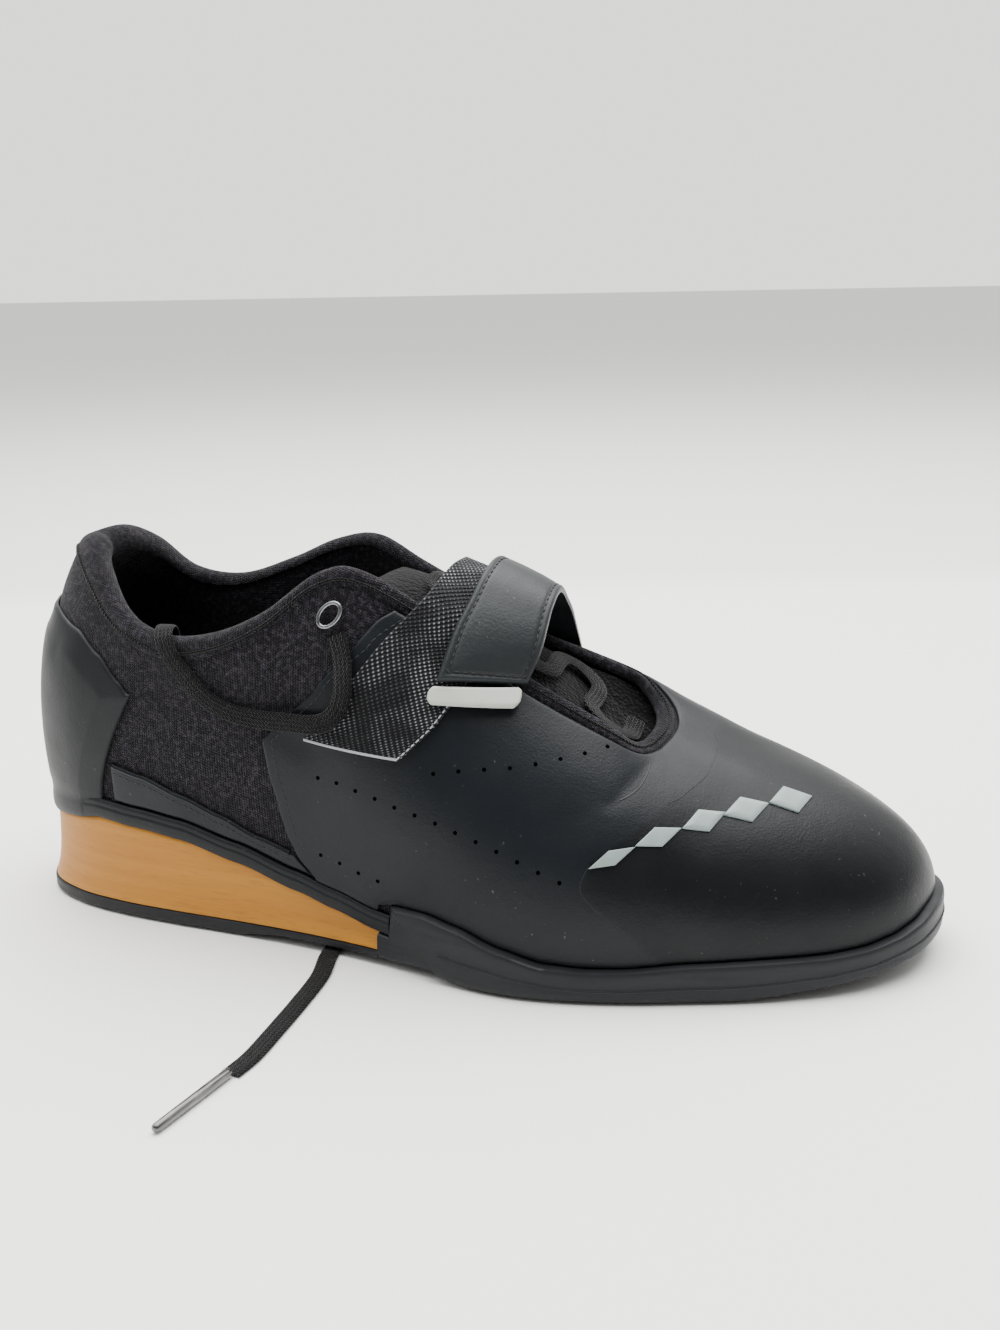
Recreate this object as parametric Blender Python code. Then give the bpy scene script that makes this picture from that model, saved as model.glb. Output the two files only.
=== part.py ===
"""Weightlifting shoe for the right foot, about EU 45: upper, sole, strap and laces.

Metres, +X from heel to toe, +Y to the inner side of the foot, +Z up. The origin lies on the floor
under the middle of the heel seat.
"""

import functools
import math
from typing import NamedTuple

import bmesh
import bpy
from mathutils import Matrix, Vector

# Driving sizes
LENGTH = 0.305  # outsole, heel back to toe tip
BALL_WIDTH = 0.109  # outsole at the ball of the foot
COLLAR_HEIGHT = 0.119  # floor to the edge of the collar at the heel
HEEL_SEAT = 0.040  # heel back to the origin
FOREFOOT_SEAT = 0.008  # floor to the upper's lower edge at the ball
HEEL_RISE = 0.0283  # heel seat above the forefoot seat
TOE_SPRING = 0.008  # lift of the outsole at the toe tip
ARCH_LIFT = 0.0019  # lift of the outsole under the arch
OUTSOLE_REAR = 0.005  # top of the outsole under the wedge
OUTSOLE_EDGE = 0.0014  # rounding of the outsole's lower edge
SIDEWALL_HEIGHT = 0.0215  # outsole's sidewall at the flange and the toe
FLANGE_STEP = 0.0018  # how far the forefoot stands out past the wedge
FLANGE_SLANT = 0.011  # how far the flange's rear edge runs forward towards the floor
WEDGE_FRONT = 0.1435  # heel back to the top of the wedge's front
WEDGE_SLANT = 0.0045  # how far that front runs back towards the floor
WEDGE_BACK_DIP = 0.0048  # how far the wedge's top falls at the heel back
WEDGE_TOP_INSET = 0.0014  # wedge's top edge past the upper's lower edge
PLATE = 0.002  # floor of the heel cup
RAIL_HEIGHT = 0.0066  # heel cup's rail above the wedge
CUP_WALL = 0.002
CUP_EDGE = 0.0009  # heel cup's thickness along its free edge
COUNTER_FRONT = 0.038  # heel back to the counter's front edge at the rail
COUNTER_REACH = 0.0135  # how far the counter's tip leans forward of that
WALL = 0.0024  # upper's cloth, foam and lining
COLLAR_PAD = 0.0075  # extra padding at the heel of the collar
PAD_DEPTH = 0.034  # how far down the padding reaches
BEAD = 0.0007  # binding's step on the upper's edge
BEAD_WIDTH = 0.0038
OVERLAY = 0.0009  # vamp and rand
INSOLE = 0.003
TONGUE_THICKNESS = 0.005
TONGUE_OVERLAP = 0.007  # tongue's reach under the edges of the throat
TONGUE_EDGE_DROP = 0.0006  # how far its edges lie off the lining
BAND_THICKNESS = 0.0011
STRAP_THICKNESS = 0.002
TAB_THICKNESS = 0.0016
TAB_WIDTH = 0.0048
RING_WIRE = 0.0014  # wire diameter of a lace ring
RING_LENGTH = 0.0098
RING_WIDTH = 0.0070
RING_TILT = 50  # degrees between the ring's long way and the sole
LACE_WIDTH = 0.006
LACE_THICKNESS = 0.0012
LACE_PITCH = 0.0123  # between two rows of the lace
AGLET_DIAMETER = 0.0028
AGLET_LENGTH = 0.029
CLEARANCE = 0.0003  # between pieces that meet
COUNTER_CLEARANCE = 0.0005  # between counter and upper, whose facets cross
BLEND_CLEARANCE = 0.0005  # added where an overlay's facets cross the upper's
END_GAP = 0.0006  # between ends that meet across the sole
BINDING_GAP = 0.0008  # between the bead and the vamp, and between the vamp and a rand
SIDEWALL_LIP = 0.0004  # how far the outsole's top edge and the wedge's foot draw in
SIDEWALL_STEP = 0.0002  # least height between two rows of the outsole's edge
BED_INSET = 0.0008  # outsole's thin rear part, rim inside the wedge's foot
BED_LIP = 0.0012  # the same across the sole at the wedge's front
BED_STEP = 0.001  # added to WALL for one row of that rim
CUP_SWELL = 0.0002  # how far the heel cup's rail swells between its edges
RAIL_RUN = 0.019  # length of one place of the rail, over which the counter leans
INSOLE_INSET = 0.0006  # insole's lower edge inside its upper edge
INSOLE_DISH = 0.004  # insole's rim, to its flat middle
INSOLE_RIM = 0.001  # insole's rim, to its rounded edge
FAN_FROM = 0.06  # spread in shares of LENGTH from which the sections turn to fan out over the toes
FAN_SPAN = 0.08  # and the spread over which they turn
SECTION_STEPS = 24  # straight steps that a section's length is measured in

# Rows of the outsole's edge in shares of its height; the second is OUTSOLE_EDGE up
SIDEWALL_LEVELS = (0.0, 0.1, 0.55, 1.0)
WALL_LEVELS = (0.0, 0.13, 0.22, 0.32, 0.44, 0.60, 0.79, 1.0)  # rows of the upper, closer round the toe

RAIL_ROWS = 3  # rows of cells of the heel cup's rail
COUNTER_ROWS = 6
RAIL_LEVELS = (0.3, 0.75)  # rail's middle rows, in shares of its height
COUNTER_BEND = 1.5  # how late the counter's front leans
COUNTER_SPREAD = 1.6  # how much of the lean lies near its front
VAMP_FRONT = 9.0  # place from which the vamp follows the upper's columns
VAMP_BLENDS = 7  # columns between that and its rear edge
RAND_COLUMNS = 10
FLANGE_RUN = 1.3  # how much of the flange's slant shows in the side wall
COLUMN_GAP = 0.12  # least distance between two columns, in places

LATERAL, MEDIAL = -1, 1


class Wall(NamedTuple):
    """One section of the upper's wall, from its lower edge to the edge of the collar or throat.

    base_x, top_x are shares of LENGTH from the heel back; base_y, top_y of BALL_WIDTH; top_z of
    COLLAR_HEIGHT. Leans are degrees outwards, pulls are shares of the section's chord, pad is the share
    of COLLAR_PAD at the edge, and welt is the outsole's reach past the lower edge, in shares of BALL_WIDTH.
    """

    base_x: float
    base_y: float
    top_x: float
    top_y: float
    top_z: float
    base_lean: float
    top_lean: float
    base_pull: float
    top_pull: float
    pad: float
    welt: float


WALLS = (
    Wall(0.022, 0.000, 0.069, 0.000, 1.014, 7, 33, 0.35, 0.35, 1.00, 0.055),
    # outer side, heel to toe
    Wall(0.037, -0.158, 0.089, -0.115, 1.012, 6, 31, 0.35, 0.35, 0.95, 0.048),
    Wall(0.082, -0.250, 0.118, -0.202, 0.945, 6, 25, 0.35, 0.33, 0.80, 0.037),
    Wall(0.144, -0.298, 0.157, -0.271, 0.849, 6, 12, 0.33, 0.30, 0.55, 0.031),
    Wall(0.210, -0.319, 0.213, -0.312, 0.797, 8, 2, 0.33, 0.30, 0.42, 0.031),
    Wall(0.272, -0.332, 0.272, -0.326, 0.813, 8, 5, 0.33, 0.30, 0.36, 0.031),
    Wall(0.331, -0.347, 0.331, -0.317, 0.878, 8, 12, 0.33, 0.30, 0.32, 0.031),
    Wall(0.393, -0.369, 0.390, -0.275, 0.987, 8, 20, 0.33, 0.32, 0.28, 0.031),
    Wall(0.456, -0.402, 0.436, -0.248, 0.987, 8, 28, 0.33, 0.34, 0.20, 0.031),
    Wall(0.525, -0.446, 0.515, -0.206, 0.861, 8, 42, 0.33, 0.36, 0.05, 0.036),
    Wall(0.603, -0.479, 0.603, -0.183, 0.714, 10, 52, 0.35, 0.36, 0.00, 0.041),
    Wall(0.689, -0.457, 0.672, -0.165, 0.613, 12, 58, 0.35, 0.38, 0.00, 0.041),
    Wall(0.774, -0.397, 0.695, -0.135, 0.565, 12, 63, 0.34, 0.42, 0.00, 0.040),
    Wall(0.852, -0.327, 0.705, -0.089, 0.552, 10, 68, 0.31, 0.47, 0.00, 0.040),
    Wall(0.921, -0.231, 0.711, -0.046, 0.559, 8, 70, 0.29, 0.51, 0.00, 0.039),
    Wall(0.967, -0.110, 0.714, -0.009, 0.566, 6, 71, 0.28, 0.53, 0.00, 0.038),
    # toe tip
    Wall(0.987, 0.037, 0.715, 0.032, 0.573, 5, 71, 0.28, 0.53, 0.00, 0.037),
    # inner side, toe to heel
    Wall(0.980, 0.165, 0.713, 0.073, 0.582, 6, 71, 0.28, 0.52, 0.00, 0.038),
    Wall(0.944, 0.294, 0.707, 0.113, 0.600, 7, 70, 0.29, 0.50, 0.00, 0.040),
    Wall(0.875, 0.381, 0.694, 0.148, 0.632, 8, 66, 0.31, 0.46, 0.00, 0.042),
    Wall(0.787, 0.427, 0.675, 0.170, 0.668, 9, 60, 0.33, 0.41, 0.00, 0.042),
    Wall(0.689, 0.427, 0.620, 0.183, 0.718, 9, 55, 0.35, 0.38, 0.00, 0.043),
    Wall(0.603, 0.397, 0.564, 0.188, 0.769, 8, 50, 0.35, 0.36, 0.00, 0.043),
    Wall(0.525, 0.358, 0.505, 0.202, 0.853, 7, 41, 0.33, 0.36, 0.05, 0.038),
    Wall(0.456, 0.328, 0.439, 0.216, 0.937, 7, 29, 0.33, 0.34, 0.20, 0.031),
    Wall(0.393, 0.315, 0.384, 0.252, 0.996, 7, 18, 0.33, 0.32, 0.28, 0.029),
    Wall(0.331, 0.306, 0.331, 0.284, 0.971, 8, 10, 0.33, 0.30, 0.32, 0.029),
    Wall(0.272, 0.303, 0.272, 0.306, 0.903, 8, 3, 0.33, 0.30, 0.36, 0.029),
    Wall(0.210, 0.303, 0.205, 0.317, 0.845, 8, 1, 0.33, 0.30, 0.42, 0.029),
    Wall(0.144, 0.286, 0.148, 0.292, 0.866, 7, 10, 0.33, 0.30, 0.55, 0.031),
    Wall(0.082, 0.239, 0.115, 0.220, 0.965, 6, 24, 0.35, 0.33, 0.80, 0.036),
    Wall(0.037, 0.147, 0.089, 0.119, 1.018, 6, 31, 0.35, 0.35, 0.95, 0.047),
)
SECTIONS = len(WALLS)
TOE = SECTIONS // 2

# Shares of LENGTH from the heel back, then the share of the named size
SEAT_RISE = (
    (0.0, 1.0), (0.118, 1.0), (0.174, 0.95), (0.223, 0.885), (0.292, 0.70), (0.361, 0.475),
    (0.407, 0.34), (0.456, 0.20), (0.508, 0.10), (0.557, 0.035), (0.607, 0.008), (0.66, 0.0), (1.0, 0.0),
)
SPRING = ((0.0, 0.0), (0.81, 0.0), (0.888, 0.30), (0.928, 0.50), (0.961, 0.72), (1.0, 1.0))
ARCH = ((0.0, 0.0), (0.29, 0.0), (0.34, 1.0), (0.46, 1.0), (0.515, 0.0), (1.0, 0.0))
SIDEWALL = (
    (0.0, 0.90), (0.457, 0.93), (0.482, 0.99), (0.511, 0.985), (0.548, 0.874), (0.593, 0.665),
    (0.633, 0.515), (0.672, 0.48), (0.708, 0.495), (0.764, 0.565), (0.836, 0.60), (0.889, 0.60),
    (0.925, 0.63), (0.951, 0.70), (0.969, 0.79), (0.982, 0.90), (1.0, 1.0),
)
# Wedge from its top to its foot: share of its depth, share of the way out to the foot
WEDGE_FLARE = ((0.0, 0.0), (0.35, 0.10), (0.72, 0.35), (1.0, 1.0))

# Counter's upper edge: share of LENGTH, share of COLLAR_HEIGHT
COUNTER_TOP = ((0.0, 0.868), (0.06, 0.855), (0.102, 0.815), (0.133, 0.756), (0.160, 0.689), (0.172, 0.658))
# Rear edge of the vamp overlay: share of COLLAR_HEIGHT, share of LENGTH
VAMP_EDGE = (
    (0.10, 0.400), (0.21, 0.384), (0.27, 0.364), (0.33, 0.354), (0.41, 0.347), (0.50, 0.338),
    (0.575, 0.333), (0.63, 0.357), (0.714, 0.393), (0.84, 0.436), (0.92, 0.472), (1.05, 0.50),
)
# Top edge of the rand: share of LENGTH, share of COLLAR_HEIGHT
RAND_TOP = ((0.137, 0.453), (0.182, 0.429), (0.230, 0.387), (0.275, 0.346), (0.318, 0.300), (0.372, 0.262))
RAND_REAR = 0.1405
# Middle of the tongue's upper face: share of LENGTH, share of COLLAR_HEIGHT
TONGUE_LINE = (
    (0.425, 0.965), (0.450, 0.962), (0.475, 0.945), (0.510, 0.905), (0.541, 0.85), (0.574, 0.783),
    (0.607, 0.71), (0.640, 0.635), (0.665, 0.58), (0.686, 0.54),
)


class StrapRow(NamedTuple):
    """Rear and front edge of the strap's or band's bed where it spans the throat.

    x in shares of LENGTH, y of BALL_WIDTH, z of COLLAR_HEIGHT. What lies under it lifts it off that bed.
    """

    rear_x: float
    rear_y: float
    rear_z: float
    front_x: float
    front_y: float
    front_z: float


# Outer side's tip of the strap, over the throat, to the inner side's edge of the throat
STRAP_ARCH = (
    StrapRow(0.512, -0.314, 0.743, 0.592, -0.200, 0.724),
    StrapRow(0.517, -0.275, 0.795, 0.598, -0.180, 0.758),
    StrapRow(0.523, -0.217, 0.855, 0.605, -0.158, 0.798),
    StrapRow(0.530, -0.156, 0.904, 0.607, -0.119, 0.840),
    StrapRow(0.534, -0.083, 0.948, 0.607, -0.069, 0.874),
    StrapRow(0.535, 0.000, 0.967, 0.605, 0.000, 0.888),
    StrapRow(0.534, 0.083, 0.950, 0.602, 0.069, 0.873),
    StrapRow(0.533, 0.156, 0.898, 0.602, 0.128, 0.833),
    StrapRow(0.532, 0.200, 0.846, 0.604, 0.176, 0.787),
)
# Strap on the inner side: x of its rear and front edge in shares of LENGTH, share of the way up from the sole
STRAP_DOWN = (
    (0.530, 0.609, 0.93), (0.526, 0.607, 0.72), (0.520, 0.605, 0.48), (0.514, 0.603, 0.24), (0.510, 0.602, 0.0),
)
# Band on the outer side: x and z of its rear and its front edge, in shares of LENGTH and COLLAR_HEIGHT
BAND_SIDE = (
    (0.383, 0.592, 0.487, 0.564), (0.401, 0.645, 0.502, 0.600), (0.419, 0.697, 0.516, 0.635),
    (0.436, 0.757, 0.527, 0.675), (0.453, 0.818, 0.535, 0.710), (0.472, 0.878, 0.546, 0.755),
)
BAND_ARCH = (
    StrapRow(0.489, -0.208, 0.925, 0.559, -0.206, 0.804),
    StrapRow(0.497, -0.124, 0.960, 0.563, -0.142, 0.862),
    StrapRow(0.502, -0.055, 0.978, 0.565, -0.073, 0.905),
    StrapRow(0.505, 0.028, 0.976, 0.566, 0.018, 0.926),
)
# Tab at the strap's tip: x and z of the middle of its two ends
TAB_ENDS = ((0.507, 0.711), (0.590, 0.686))
# Tab along its length: share of the length, share of TAB_WIDTH
TAB_PROFILE = (
    (0.0, 0.30), (0.02, 0.72), (0.07, 1.0), (0.3, 1.0), (0.5, 1.0), (0.7, 1.0), (0.93, 1.0), (0.98, 0.72), (1.0, 0.30),
)
# Middle of each lace ring: x and z in shares of LENGTH and COLLAR_HEIGHT
RING_PLACES = {LATERAL: (0.406, 0.903), MEDIAL: (0.389, 0.903)}
LACE_ROWS_BACK = 0.482  # share of LENGTH at which the rearmost lace row crosses
LACE_ROWS = 6
# One row of the lace and its turn: share of the pitch forward, share of LACE_REACH to the side
LACE_TURN = ((0.0, -0.55), (0.0, 0.0), (0.0, 0.55), (0.15, 0.85), (0.5, 1.0), (0.85, 0.85))
LACE_REACH = 0.0105

# Free lace ends in the shoe's own frame: x, y, z and the way the flat side faces, in degrees from the
# outer side (0) over the top (90) to the inner side (180)
LACE_END_LATERAL = (
    (0.0866, -0.0366, 0.1024, 17), (0.0884, -0.0382, 0.0992, 18), (0.0898, -0.0404, 0.0950, 18),
    (0.0908, -0.0430, 0.0903, 16), (0.0909, -0.0447, 0.0858, 14), (0.0895, -0.0458, 0.0815, 11),
    (0.0860, -0.0460, 0.0783, 9), (0.0805, -0.0452, 0.0766, 8), (0.0720, -0.0432, 0.0760, 6),
    (0.0600, -0.0408, 0.0755, 5), (0.0500, -0.0395, 0.0768, 4), (0.0420, -0.0385, 0.0804, 4),
    (0.0362, -0.0379, 0.0860, 3), (0.0326, -0.0379, 0.0905, 4), (0.0303, -0.0379, 0.0945, 10),
    (0.0287, -0.0368, 0.0980, 35), (0.0275, -0.0340, 0.1003, 65), (0.0266, -0.0307, 0.1006, 95),
    (0.0258, -0.0276, 0.0988, 130), (0.0252, -0.0258, 0.0950, 165), (0.0247, -0.0254, 0.0890, 178),
    (0.0242, -0.0258, 0.0800, 180), (0.0238, -0.0264, 0.0700, 180), (0.0238, -0.0268, 0.0600, 180),
    (0.0240, -0.0268, 0.0510, 178), (0.0246, -0.0256, 0.0438, 158), (0.0262, -0.0222, 0.0398, 118),
    (0.0300, -0.0168, 0.0381, 95), (0.0352, -0.0108, 0.0366, 90), (0.0420, -0.0060, 0.0349, 90),
    (0.0500, -0.0030, 0.0326, 90), (0.0570, -0.0012, 0.0306, 90), (0.0640, 0.0004, 0.0288, 90),
)
LACE_END_MEDIAL = (
    (0.0778, 0.0342, 0.1018, 167), (0.0790, 0.0355, 0.0980, 169), (0.0808, 0.0372, 0.0900, 171),
    (0.0814, 0.0388, 0.0800, 175), (0.0812, 0.0398, 0.0700, 178), (0.0806, 0.0405, 0.0600, 180),
    (0.0799, 0.0410, 0.0500, 182), (0.0792, 0.0415, 0.0400, 183), (0.0787, 0.0424, 0.0300, 184),
    (0.0785, 0.0436, 0.0220, 185), (0.0786, 0.0450, 0.0150, 187), (0.0790, 0.0456, 0.0095, 197),
    (0.0796, 0.0445, 0.0047, 225), (0.0804, 0.0414, 0.0017, 255), (0.0810, 0.0368, 0.0009, 270),
    (0.0815, 0.0280, 0.0008, 270), (0.0820, 0.0140, 0.0008, 270), (0.0823, 0.0000, 0.0008, 270),
    (0.0823, -0.0150, 0.0008, 270), (0.0820, -0.0300, 0.0008, 270), (0.0817, -0.0442, 0.0008, 270),
    (0.0845, -0.0585, 0.0008, 270), (0.0850, -0.0740, 0.0008, 270), (0.0848, -0.0907, 0.0008, 270),
    (0.0843, -0.1045, 0.0008, 270), (0.0825, -0.1135, 0.0008, 270),
)


def clear_scene():
    """Remove whatever the startup scene holds."""
    for obj in list(bpy.data.objects):
        bpy.data.objects.remove(obj, do_unlink=True)


def collection(name):
    """A new collection in the scene."""
    group = bpy.data.collections.new(name)
    bpy.context.scene.collection.children.link(group)
    return group


def curve_through(values, place, closed):
    """Catmull-Rom curve through rows of numbers, read at a place counted in rows."""
    count = len(values)
    start = math.floor(place)
    share = place - start
    if not closed:
        start = min(max(start, 0), count - 2)
        share = place - start
    picked = []
    for step in (-1, 0, 1, 2):
        index = start + step
        picked.append(values[index % count] if closed else values[min(max(index, 0), count - 1)])
    before, here, after, beyond = picked
    found = []
    for a, b, c, d in zip(before, here, after, beyond):
        rise, bend, twist = c - a, 2 * a - 5 * b + 4 * c - d, 3 * b - a - 3 * c + d
        found.append(0.5 * (2 * b + rise * share + bend * share**2 + twist * share**3))
    return tuple(found)


def table_at(table, x):
    """A table's smooth value at x, flat past its ends, with no overshoot between rows."""
    if x <= table[0][0]:
        return table[0][1]
    for (x0, y0), (x1, y1) in zip(table, table[1:]):
        if x <= x1:
            share = (x - x0) / (x1 - x0)
            ease = share * share * (3 - 2 * share)
            return y0 + (y1 - y0) * (0.6 * share + 0.4 * ease)
    return table[-1][1]


def seat_z(x):
    """Height of the seat that the upper and insole stand on, at x from the heel back."""
    share = x / LENGTH
    return FOREFOOT_SEAT + HEEL_RISE * table_at(SEAT_RISE, share) + TOE_SPRING * table_at(SPRING, share)


def bottom_z(x):
    """Height of the outsole's tread."""
    share = x / LENGTH
    return TOE_SPRING * table_at(SPRING, share) + ARCH_LIFT * table_at(ARCH, share)


def wedge_top_z(x):
    """Height of the wedge's top: under the plate, and lower towards the heel back."""
    back = max(0.0, 1 - x / (0.118 * LENGTH))
    dip = WEDGE_BACK_DIP * back * (2 - back) * 0.5 + WEDGE_BACK_DIP * back * 0.5
    return seat_z(x) - PLATE - 2 * CLEARANCE - dip


def rail_z(x):
    """Height of the heel cup's rail."""
    return seat_z(x) - PLATE - CLEARANCE + RAIL_HEIGHT


def sidewall_z(x):
    """Height of the outsole's sidewall."""
    return SIDEWALL_HEIGHT * table_at(SIDEWALL, x / LENGTH)


class Section(NamedTuple):
    """The upper's wall at one place round the shoe: a cubic curve and its lengths."""

    controls: tuple
    outward: Vector
    lengths: tuple
    pad: float
    welt: float


def bezier(controls, share):
    """A point of the cubic curve."""
    rest = 1 - share
    a, b, c, d = controls
    return a * rest**3 + b * (3 * rest * rest * share) + c * (3 * rest * share * share) + d * share**3


@functools.lru_cache(maxsize=None)
def section(place):
    """The wall's section at a place round the shoe, counted in rows of WALLS."""
    row = Wall(*curve_through(WALLS, place, True))
    ahead = Wall(*curve_through(WALLS, place + 0.02, True))
    behind = Wall(*curve_through(WALLS, place - 0.02, True))
    along = Vector(((ahead.base_x - behind.base_x) * LENGTH, (ahead.base_y - behind.base_y) * BALL_WIDTH, 0))
    outward = Vector((along.y, -along.x, 0)).normalized()
    base_x = row.base_x * LENGTH
    base = Vector((base_x, row.base_y * BALL_WIDTH, seat_z(base_x) + CLEARANCE))
    top = Vector((row.top_x * LENGTH, row.top_y * BALL_WIDTH, row.top_z * COLLAR_HEIGHT))
    spread = Vector((base.x - top.x, base.y - top.y, 0))
    reach = min(1.0, max(0.0, (spread.length / LENGTH - FAN_FROM) / FAN_SPAN))
    fan = (outward * (1 - reach) + spread.normalized() * reach).normalized() if spread.length else outward
    chord = (top - base).length
    base_lean, top_lean = math.radians(row.base_lean), math.radians(row.top_lean)
    rise = Vector((0, 0, math.cos(base_lean))) + outward * math.sin(base_lean)
    fall = Vector((0, 0, -math.cos(top_lean))) + fan * math.sin(top_lean)
    controls = (base, base + rise * chord * row.base_pull, top + fall * chord * row.top_pull, top)
    lengths = [0.0]
    last = base
    for step in range(1, SECTION_STEPS + 1):
        point = bezier(controls, step / SECTION_STEPS)
        lengths.append(lengths[-1] + (point - last).length)
        last = point
    return Section(controls, outward, tuple(lengths), row.pad, row.welt * BALL_WIDTH)


def height_of(place):
    """Length of the wall's section, lower edge to upper edge."""
    return section(place).lengths[-1]


def wall_point(place, share):
    """Point on the upper's outer face, at a share of the section's length. It runs straight past both ends."""
    here = section(place)
    total = here.lengths[-1]
    if share < 0:
        return here.controls[0] + (here.controls[0] - here.controls[1]).normalized() * (-share * total)
    if share > 1:
        return here.controls[3] + (here.controls[3] - here.controls[2]).normalized() * ((share - 1) * total)
    want = share * total
    step = 1
    while here.lengths[step] < want and step < SECTION_STEPS:
        step += 1
    low, high = here.lengths[step - 1], here.lengths[step]
    return bezier(here.controls, (step - 1 + (want - low) / (high - low)) / SECTION_STEPS)


def wall_normal(place, share):
    """Outward direction of the upper's outer face."""
    share = min(max(share, 0.0), 1.0)
    around = wall_point(place + 0.04, share) - wall_point(place - 0.04, share)
    up = wall_point(place, share + 0.01) - wall_point(place, share - 0.01)
    return around.cross(up).normalized()


def skin(place, share, offset=0.0):
    """Point off the upper's outer face by offset."""
    point = wall_point(place, share)
    return point + wall_normal(place, share) * offset if offset else point


def share_at(place, z):
    """Share of the section at which the outer face reaches height z."""
    low, high = -0.3, 1.0
    if wall_point(place, high).z <= z:
        return 1.0
    for _ in range(26):
        middle = (low + high) / 2
        if wall_point(place, middle).z < z:
            low = middle
        else:
            high = middle
    return (low + high) / 2


def place_at(side, x, share=0.0):
    """Place on one side of the shoe whose wall, at a share of its height, lies at x from the heel back."""
    low, high = 0.0, float(TOE)
    for _ in range(26):
        middle = (low + high) / 2
        place = middle if side == LATERAL else SECTIONS - middle
        if wall_point(place, share).x < x:
            low = middle
        else:
            high = middle
    middle = (low + high) / 2
    return middle if side == LATERAL else SECTIONS - middle


def place_on(side, x, z):
    """Place and share of the outer face's point at x and height z on one side."""
    share = 0.5
    place = place_at(side, x, share)
    for _ in range(6):
        share = share_at(place, z)
        place = place_at(side, x, share)
    return place, share_at(place, z)


def half_places():
    """Places of the upper's columns from heel back to toe tip on the outer side."""
    places = []
    for row in range(TOE):
        cuts = 2 if 3 <= row < 6 or 9 <= row < 12 else 3
        places += [row + cut / cuts for cut in range(cuts)]
    return places + [float(TOE)]


def ring_places(half):
    """Those places, and the inner side's that pair with them, once round from the heel back."""
    return half + [SECTIONS - place for place in reversed(half[1:-1])]


def to_origin(point):
    """Move a point from heel-back coordinates to the shoe's frame."""
    return (point[0] - HEEL_SEAT, point[1], point[2])


def face(bm, *corners):
    """A face, with corners that coincide taken once."""
    kept = [corner for index, corner in enumerate(corners) if corner is not corners[index - 1]]
    if len(kept) > 2:
        bm.faces.new(kept)


def shell(outer, inner, ring, floors=False, present=None):
    """Closed solid between two grids of points, columns of rows that run upwards.

    floors fills across the shoe from the outer grid's and the inner grid's lowest rows, where column k
    faces its pair on the other side. present says which cells of the grid are there.
    """
    bm = bmesh.new()
    out = [[bm.verts.new(to_origin(point)) for point in column] for column in outer]
    inn = [[bm.verts.new(to_origin(point)) for point in column] for column in inner]
    count, rows = len(outer), len(outer[0])
    spans = count if ring else count - 1

    def there(k, j):
        if not 0 <= j < rows - 1 or not (ring or 0 <= k < spans):
            return False
        return present is None or present(k % count, j)

    for k in range(spans):
        m = (k + 1) % count
        for j in range(rows - 1):
            if not there(k, j):
                continue
            face(bm, out[k][j], out[m][j], out[m][j + 1], out[k][j + 1])
            face(bm, inn[k][j], inn[k][j + 1], inn[m][j + 1], inn[m][j])
            if not there(k, j + 1):
                face(bm, out[k][j + 1], out[m][j + 1], inn[m][j + 1], inn[k][j + 1])
            if not there(k, j - 1) and not (floors and j == 0):
                face(bm, out[k][j], inn[k][j], inn[m][j], out[m][j])
            if not there(k - 1, j):
                face(bm, out[k][j], out[k][j + 1], inn[k][j + 1], inn[k][j])
            if not there(k + 1, j):
                face(bm, out[m][j], inn[m][j], inn[m][j + 1], out[m][j + 1])
    if floors:
        half = count // 2
        if ring:
            outer_side, inner_side = list(range(half + 1)), [0] + [count - k for k in range(1, half + 1)]
        else:
            outer_side, inner_side = list(range(half, count)), list(range(half, -1, -1))
        for a, b, c, d in zip(outer_side, outer_side[1:], inner_side[1:], inner_side):
            face(bm, out[d][0], out[c][0], out[b][0], out[a][0])
            face(bm, inn[a][0], inn[b][0], inn[c][0], inn[d][0])
        if not ring:
            face(bm, out[-1][0], out[0][0], inn[0][0], inn[-1][0])
    return bm


def finish(name, bm, group, color, roughness, metallic=0.0):
    """Make the mesh an object with its own material, shaded smooth except at its edges."""
    mesh = bpy.data.meshes.new(name)
    bm.to_mesh(mesh)
    bm.free()
    obj = bpy.data.objects.new(name, mesh)
    group.objects.link(obj)
    dress(obj, color, roughness, metallic)
    mesh.shade_smooth()
    mesh.set_sharp_from_angle(angle=math.radians(35))
    return obj


def dress(obj, color, roughness, metallic=0.0):
    """Give an object its own Principled material."""
    material = bpy.data.materials.new(obj.name)
    material.use_nodes = True
    shader = material.node_tree.nodes["Principled BSDF"]
    shader.inputs["Base Color"].default_value = (*color, 1)
    shader.inputs["Roughness"].default_value = roughness
    shader.inputs["Metallic"].default_value = metallic
    obj.data.materials.append(material)


def edge_width(place):
    """Upper's thickness at its upper edge."""
    return WALL + 2 * BEAD + COLLAR_PAD * max(0.0, section(place).pad)


def lining_depth(place, share):
    """Upper's thickness at a share of its height: the wall, and the collar's padding near the edge."""
    down = (1 - share) * height_of(place)
    fill = min(1.0, max(0.0, 1 - down / PAD_DEPTH))
    return WALL + COLLAR_PAD * max(0.0, section(place).pad) * fill * fill * (3 - 2 * fill)


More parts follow.
